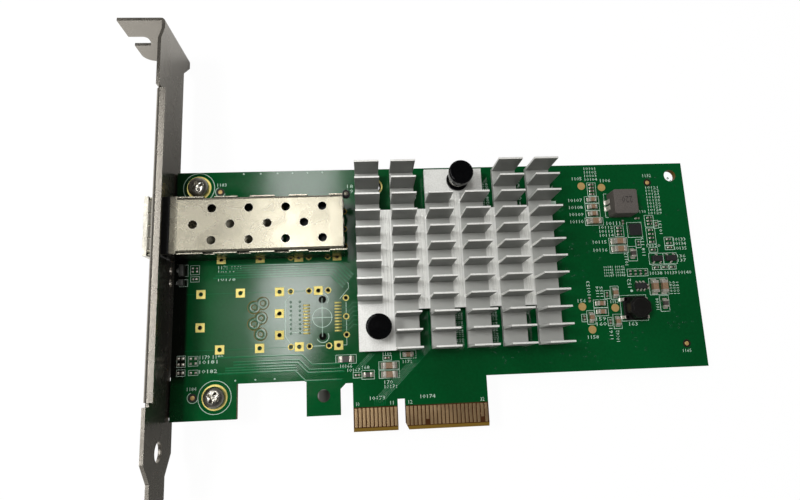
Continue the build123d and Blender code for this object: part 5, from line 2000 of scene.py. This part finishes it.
@dataclass
class Studio:
    """The floor, the lamps, the world and the camera."""

    floor_z: float = -9.0
    camera_at: Point3 = (-8.269, 16.520, 150.161)
    camera_turn: Point3 = (11.21, -3.16, -2.31)
    lens_mm: float = 25.93
    sensor_mm: float = 36.0
    lamps: Tuple[Tuple[str, Point3, Point2, float], ...] = (
        ("softbox", (-88.5, 225.0, 600.0), (95.0, 180.0), 0.4),
        ("softbox_middle", (-97.5, 105.0, 600.0), (87.0, 60.0), 0.176),
        ("softbox_near", (-111.5, 48.5, 600.0), (59.0, 53.0), 0.105),
        ("soft_edge", (-172.0, 78.5, 600.0), (62.0, 113.0), 0.02),
        ("side_panel", (-332.0, 115.0, 600.0), (80.0, 530.0), 0.9),
        ("overhead", (-280.0, 92.0, 520.0), (110.0, 110.0), 1.9),
    )
    world_level: float = 0.5
    wall_level: float = 0.3
    ceiling_level: float = 0.04
    world_colour: Colour = (1.0, 0.985, 0.95)
    floor_size: float = 6.0
    floor_glow: float = 0.96
    floor_shade: Colour = display(252, 252, 252)
    # Painted dark of the floor: its shadow under the board, and its dark where it shows in
    # reflections; the mirror sizes below say where that painted reflection turns light.
    floor_painted_dark: Colour = display(84, 84, 80)
    mirror_x: Point2 = (-66.0, -61.0)
    mirror_y: Point2 = (64.0, 118.0)
    mirror_most: float = 0.62
    # Rectangles under the board where the floor's shadow is painted.
    under_board: Tuple[Tuple[float, float, float, float], ...] = (
        (-57.0, 76.0, 16.5, 63.0), (-22.8, -17.1, 5.5, 11.6))
    under_blur: float = 1.5
    mirror_share: float = 0.1

    def build(self) -> None:
        """Set up everything round the card."""
        self.floor()
        self.world()
        for name, place, size, power in self.lamps:
            self.lamp(name, place, size, power)
        self.camera()
        bpy.context.scene.view_settings.view_transform = "Standard"

    def floor(self) -> None:
        """Lay a pale floor: white round the card, under it in its real shade darkened by painted
        shadow, painted darker where reflections show it, clear from below.
        """
        rest()
        bpy.ops.mesh.primitive_plane_add(size=self.floor_size,
                                         location=(0.0, 0.0, self.floor_z * MM))
        plane = bpy.context.object
        plane.name = "floor"
        made = bpy.data.materials.new("pale_floor")
        made.use_nodes = True
        wiring = Wiring(made.node_tree)
        x, y, _ = wiring.axes(wiring.place())
        # Painted reflection: in glossy rays the floor is dark, lighter left of the bracket and far
        # along Y.
        start, end = self.mirror_x
        outside = wiring.spread(x, start * MM, end * MM, 1.0, 0.0)
        start, end = self.mirror_y
        beyond = wiring.spread(y, start * MM, end * MM, 0.0, self.mirror_most)
        mirrored = wiring.blend(wiring.maths("MAXIMUM", outside, beyond), self.floor_painted_dark,
                                self.floor_shade)
        path = wiring.node("ShaderNodeLightPath").outputs
        # Painted shadow: camera rays see the floor under the board darkened.
        painted_shadow = wiring.maths("SUBTRACT", path["Is Camera Ray"], self.open_floor(wiring))
        shade = wiring.blend(wiring.maths("MAXIMUM", painted_shadow, 0.0), self.floor_shade,
                             self.floor_painted_dark)
        matt = wiring.node("ShaderNodeBsdfDiffuse")
        wiring.feed(matt.inputs["Color"], wiring.blend(path["Is Glossy Ray"], shade, mirrored))
        glow = wiring.node("ShaderNodeEmission")
        share = wiring.product(self.seen_directly(wiring), self.open_floor(wiring), self.floor_glow)
        seen = wiring.mixed(share, matt.outputs[0], glow.outputs[0])
        below = wiring.node("ShaderNodeNewGeometry").outputs["Backfacing"]
        clear = wiring.node("ShaderNodeBsdfTransparent").outputs[0]
        output = wiring.node("ShaderNodeOutputMaterial")
        wiring.feed(output.inputs["Surface"], wiring.mixed(below, seen, clear))
        plane.data.materials.append(made)

    def open_floor(self, wiring: Wiring) -> Socket:
        """Return 1 on the open floor and 0 well under the board, where the floor's shadow is
        painted.

        Args:
            wiring: the floor material's wiring.

        Returns:
            The mask's socket.
        """
        x, y, _ = wiring.axes(wiring.place())
        blur = self.under_blur * MM
        share: Feed = 1.0
        for left, right, low, high in self.under_board:
            gaps = []
            for axis, start, end in ((x, left, right), (y, low, high)):
                middle = (start + end) / 2 * MM
                reach = wiring.maths("ABSOLUTE", wiring.maths("SUBTRACT", axis, middle))
                gaps.append(wiring.maths("SUBTRACT", reach, (end - start) / 2 * MM))
            outside = wiring.maths("MAXIMUM", gaps[0], gaps[1])
            share = wiring.maths("MINIMUM", share, wiring.spread(outside, -blur, blur, 0.0, 1.0))
        return share

    def seen_directly(self, wiring: Wiring) -> Socket:
        """Return how much of the white ground a ray shows: all of it straight or through a lens."""
        path = wiring.node("ShaderNodeLightPath").outputs
        mirrored = wiring.product(path["Is Glossy Ray"], self.mirror_share)
        glossy = wiring.maths("MAXIMUM", path["Is Camera Ray"], mirrored)
        return wiring.maths("MAXIMUM", glossy, path["Is Transmission Ray"])

    def world(self) -> None:
        """Light the card softly from all round, with a dark ceiling for reflections."""
        world = bpy.data.worlds.new("studio")
        bpy.context.scene.world = world
        world.use_nodes = True
        wiring = Wiring(world.node_tree)
        up = wiring.axes(wiring.node("ShaderNodeTexCoord").outputs["Generated"])[2]
        walls = wiring.spread(up, 0.25, 0.8, self.wall_level, self.ceiling_level)
        path = wiring.node("ShaderNodeLightPath").outputs
        level = wiring.node("ShaderNodeMix", data_type="FLOAT")
        wiring.feed(level.inputs["Factor"], path["Is Glossy Ray"])
        wiring.feed(level.inputs[2], self.world_level)
        wiring.feed(level.inputs[3], walls)
        soft = wiring.node("ShaderNodeBackground")
        wiring.feed(soft.inputs["Color"], self.world_colour)
        wiring.feed(soft.inputs["Strength"], level.outputs[0])
        white = wiring.node("ShaderNodeBackground")
        output = wiring.node("ShaderNodeOutputWorld")
        wiring.feed(output.inputs["Surface"],
                    wiring.mixed(path["Is Camera Ray"], soft.outputs[0], white.outputs[0]))

    def lamp(self, name: str, at_point: Point3, size: Point2, power: float) -> None:
        """Hang a rectangular lamp that faces straight down.

        Args:
            name: the lamp's name.
            at_point: its place in millimetres.
            size: its width and length in millimetres.
            power: its power in watts.
        """
        data = bpy.data.lights.new(name, "AREA")
        data.shape = "RECTANGLE"
        data.size = size[0] * MM
        data.size_y = size[1] * MM
        data.energy = power
        lamp = bpy.data.objects.new(name, data)
        bpy.context.scene.collection.objects.link(lamp)
        lamp.location = Vector(at_point) * MM
        lamp.visible_glossy = name != "overhead"

    def camera(self) -> None:
        """Set the camera where the photograph was taken from."""
        data = bpy.data.cameras.new("camera")
        data.lens = self.lens_mm
        data.sensor_width = self.sensor_mm
        data.clip_start = 1.0 * MM
        camera = bpy.data.objects.new("camera", data)
        bpy.context.scene.collection.objects.link(camera)
        camera.location = Vector(self.camera_at) * MM
        camera.rotation_euler = Euler([math.radians(angle) for angle in self.camera_turn], "XYZ")
        bpy.context.scene.camera = camera


def main() -> None:
    """Build every assembly in order, then the studio round them."""
    logging.basicConfig(level=logging.INFO, format="%(name)s: %(message)s")
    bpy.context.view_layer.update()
    assemblies = [
        CircuitBoard(),
        Bracket(),
        Cage(),
        Heatsink(),
        ChipParts("large_capacitor", CERAMIC),
        ChipParts("medium_capacitor", CERAMIC),
        ChipParts("small_capacitor", TINY),
        ChipParts("bead", BEAD),
        ChipParts("small_resistor", CHIP),
        Packages(),
        Inductors(),
        Lights(),
        Studio(),
    ]
    for assembly in assemblies:
        assembly.build()
        LOG.info("built %s", type(assembly).__name__)


if __name__ == "__main__":
    main()
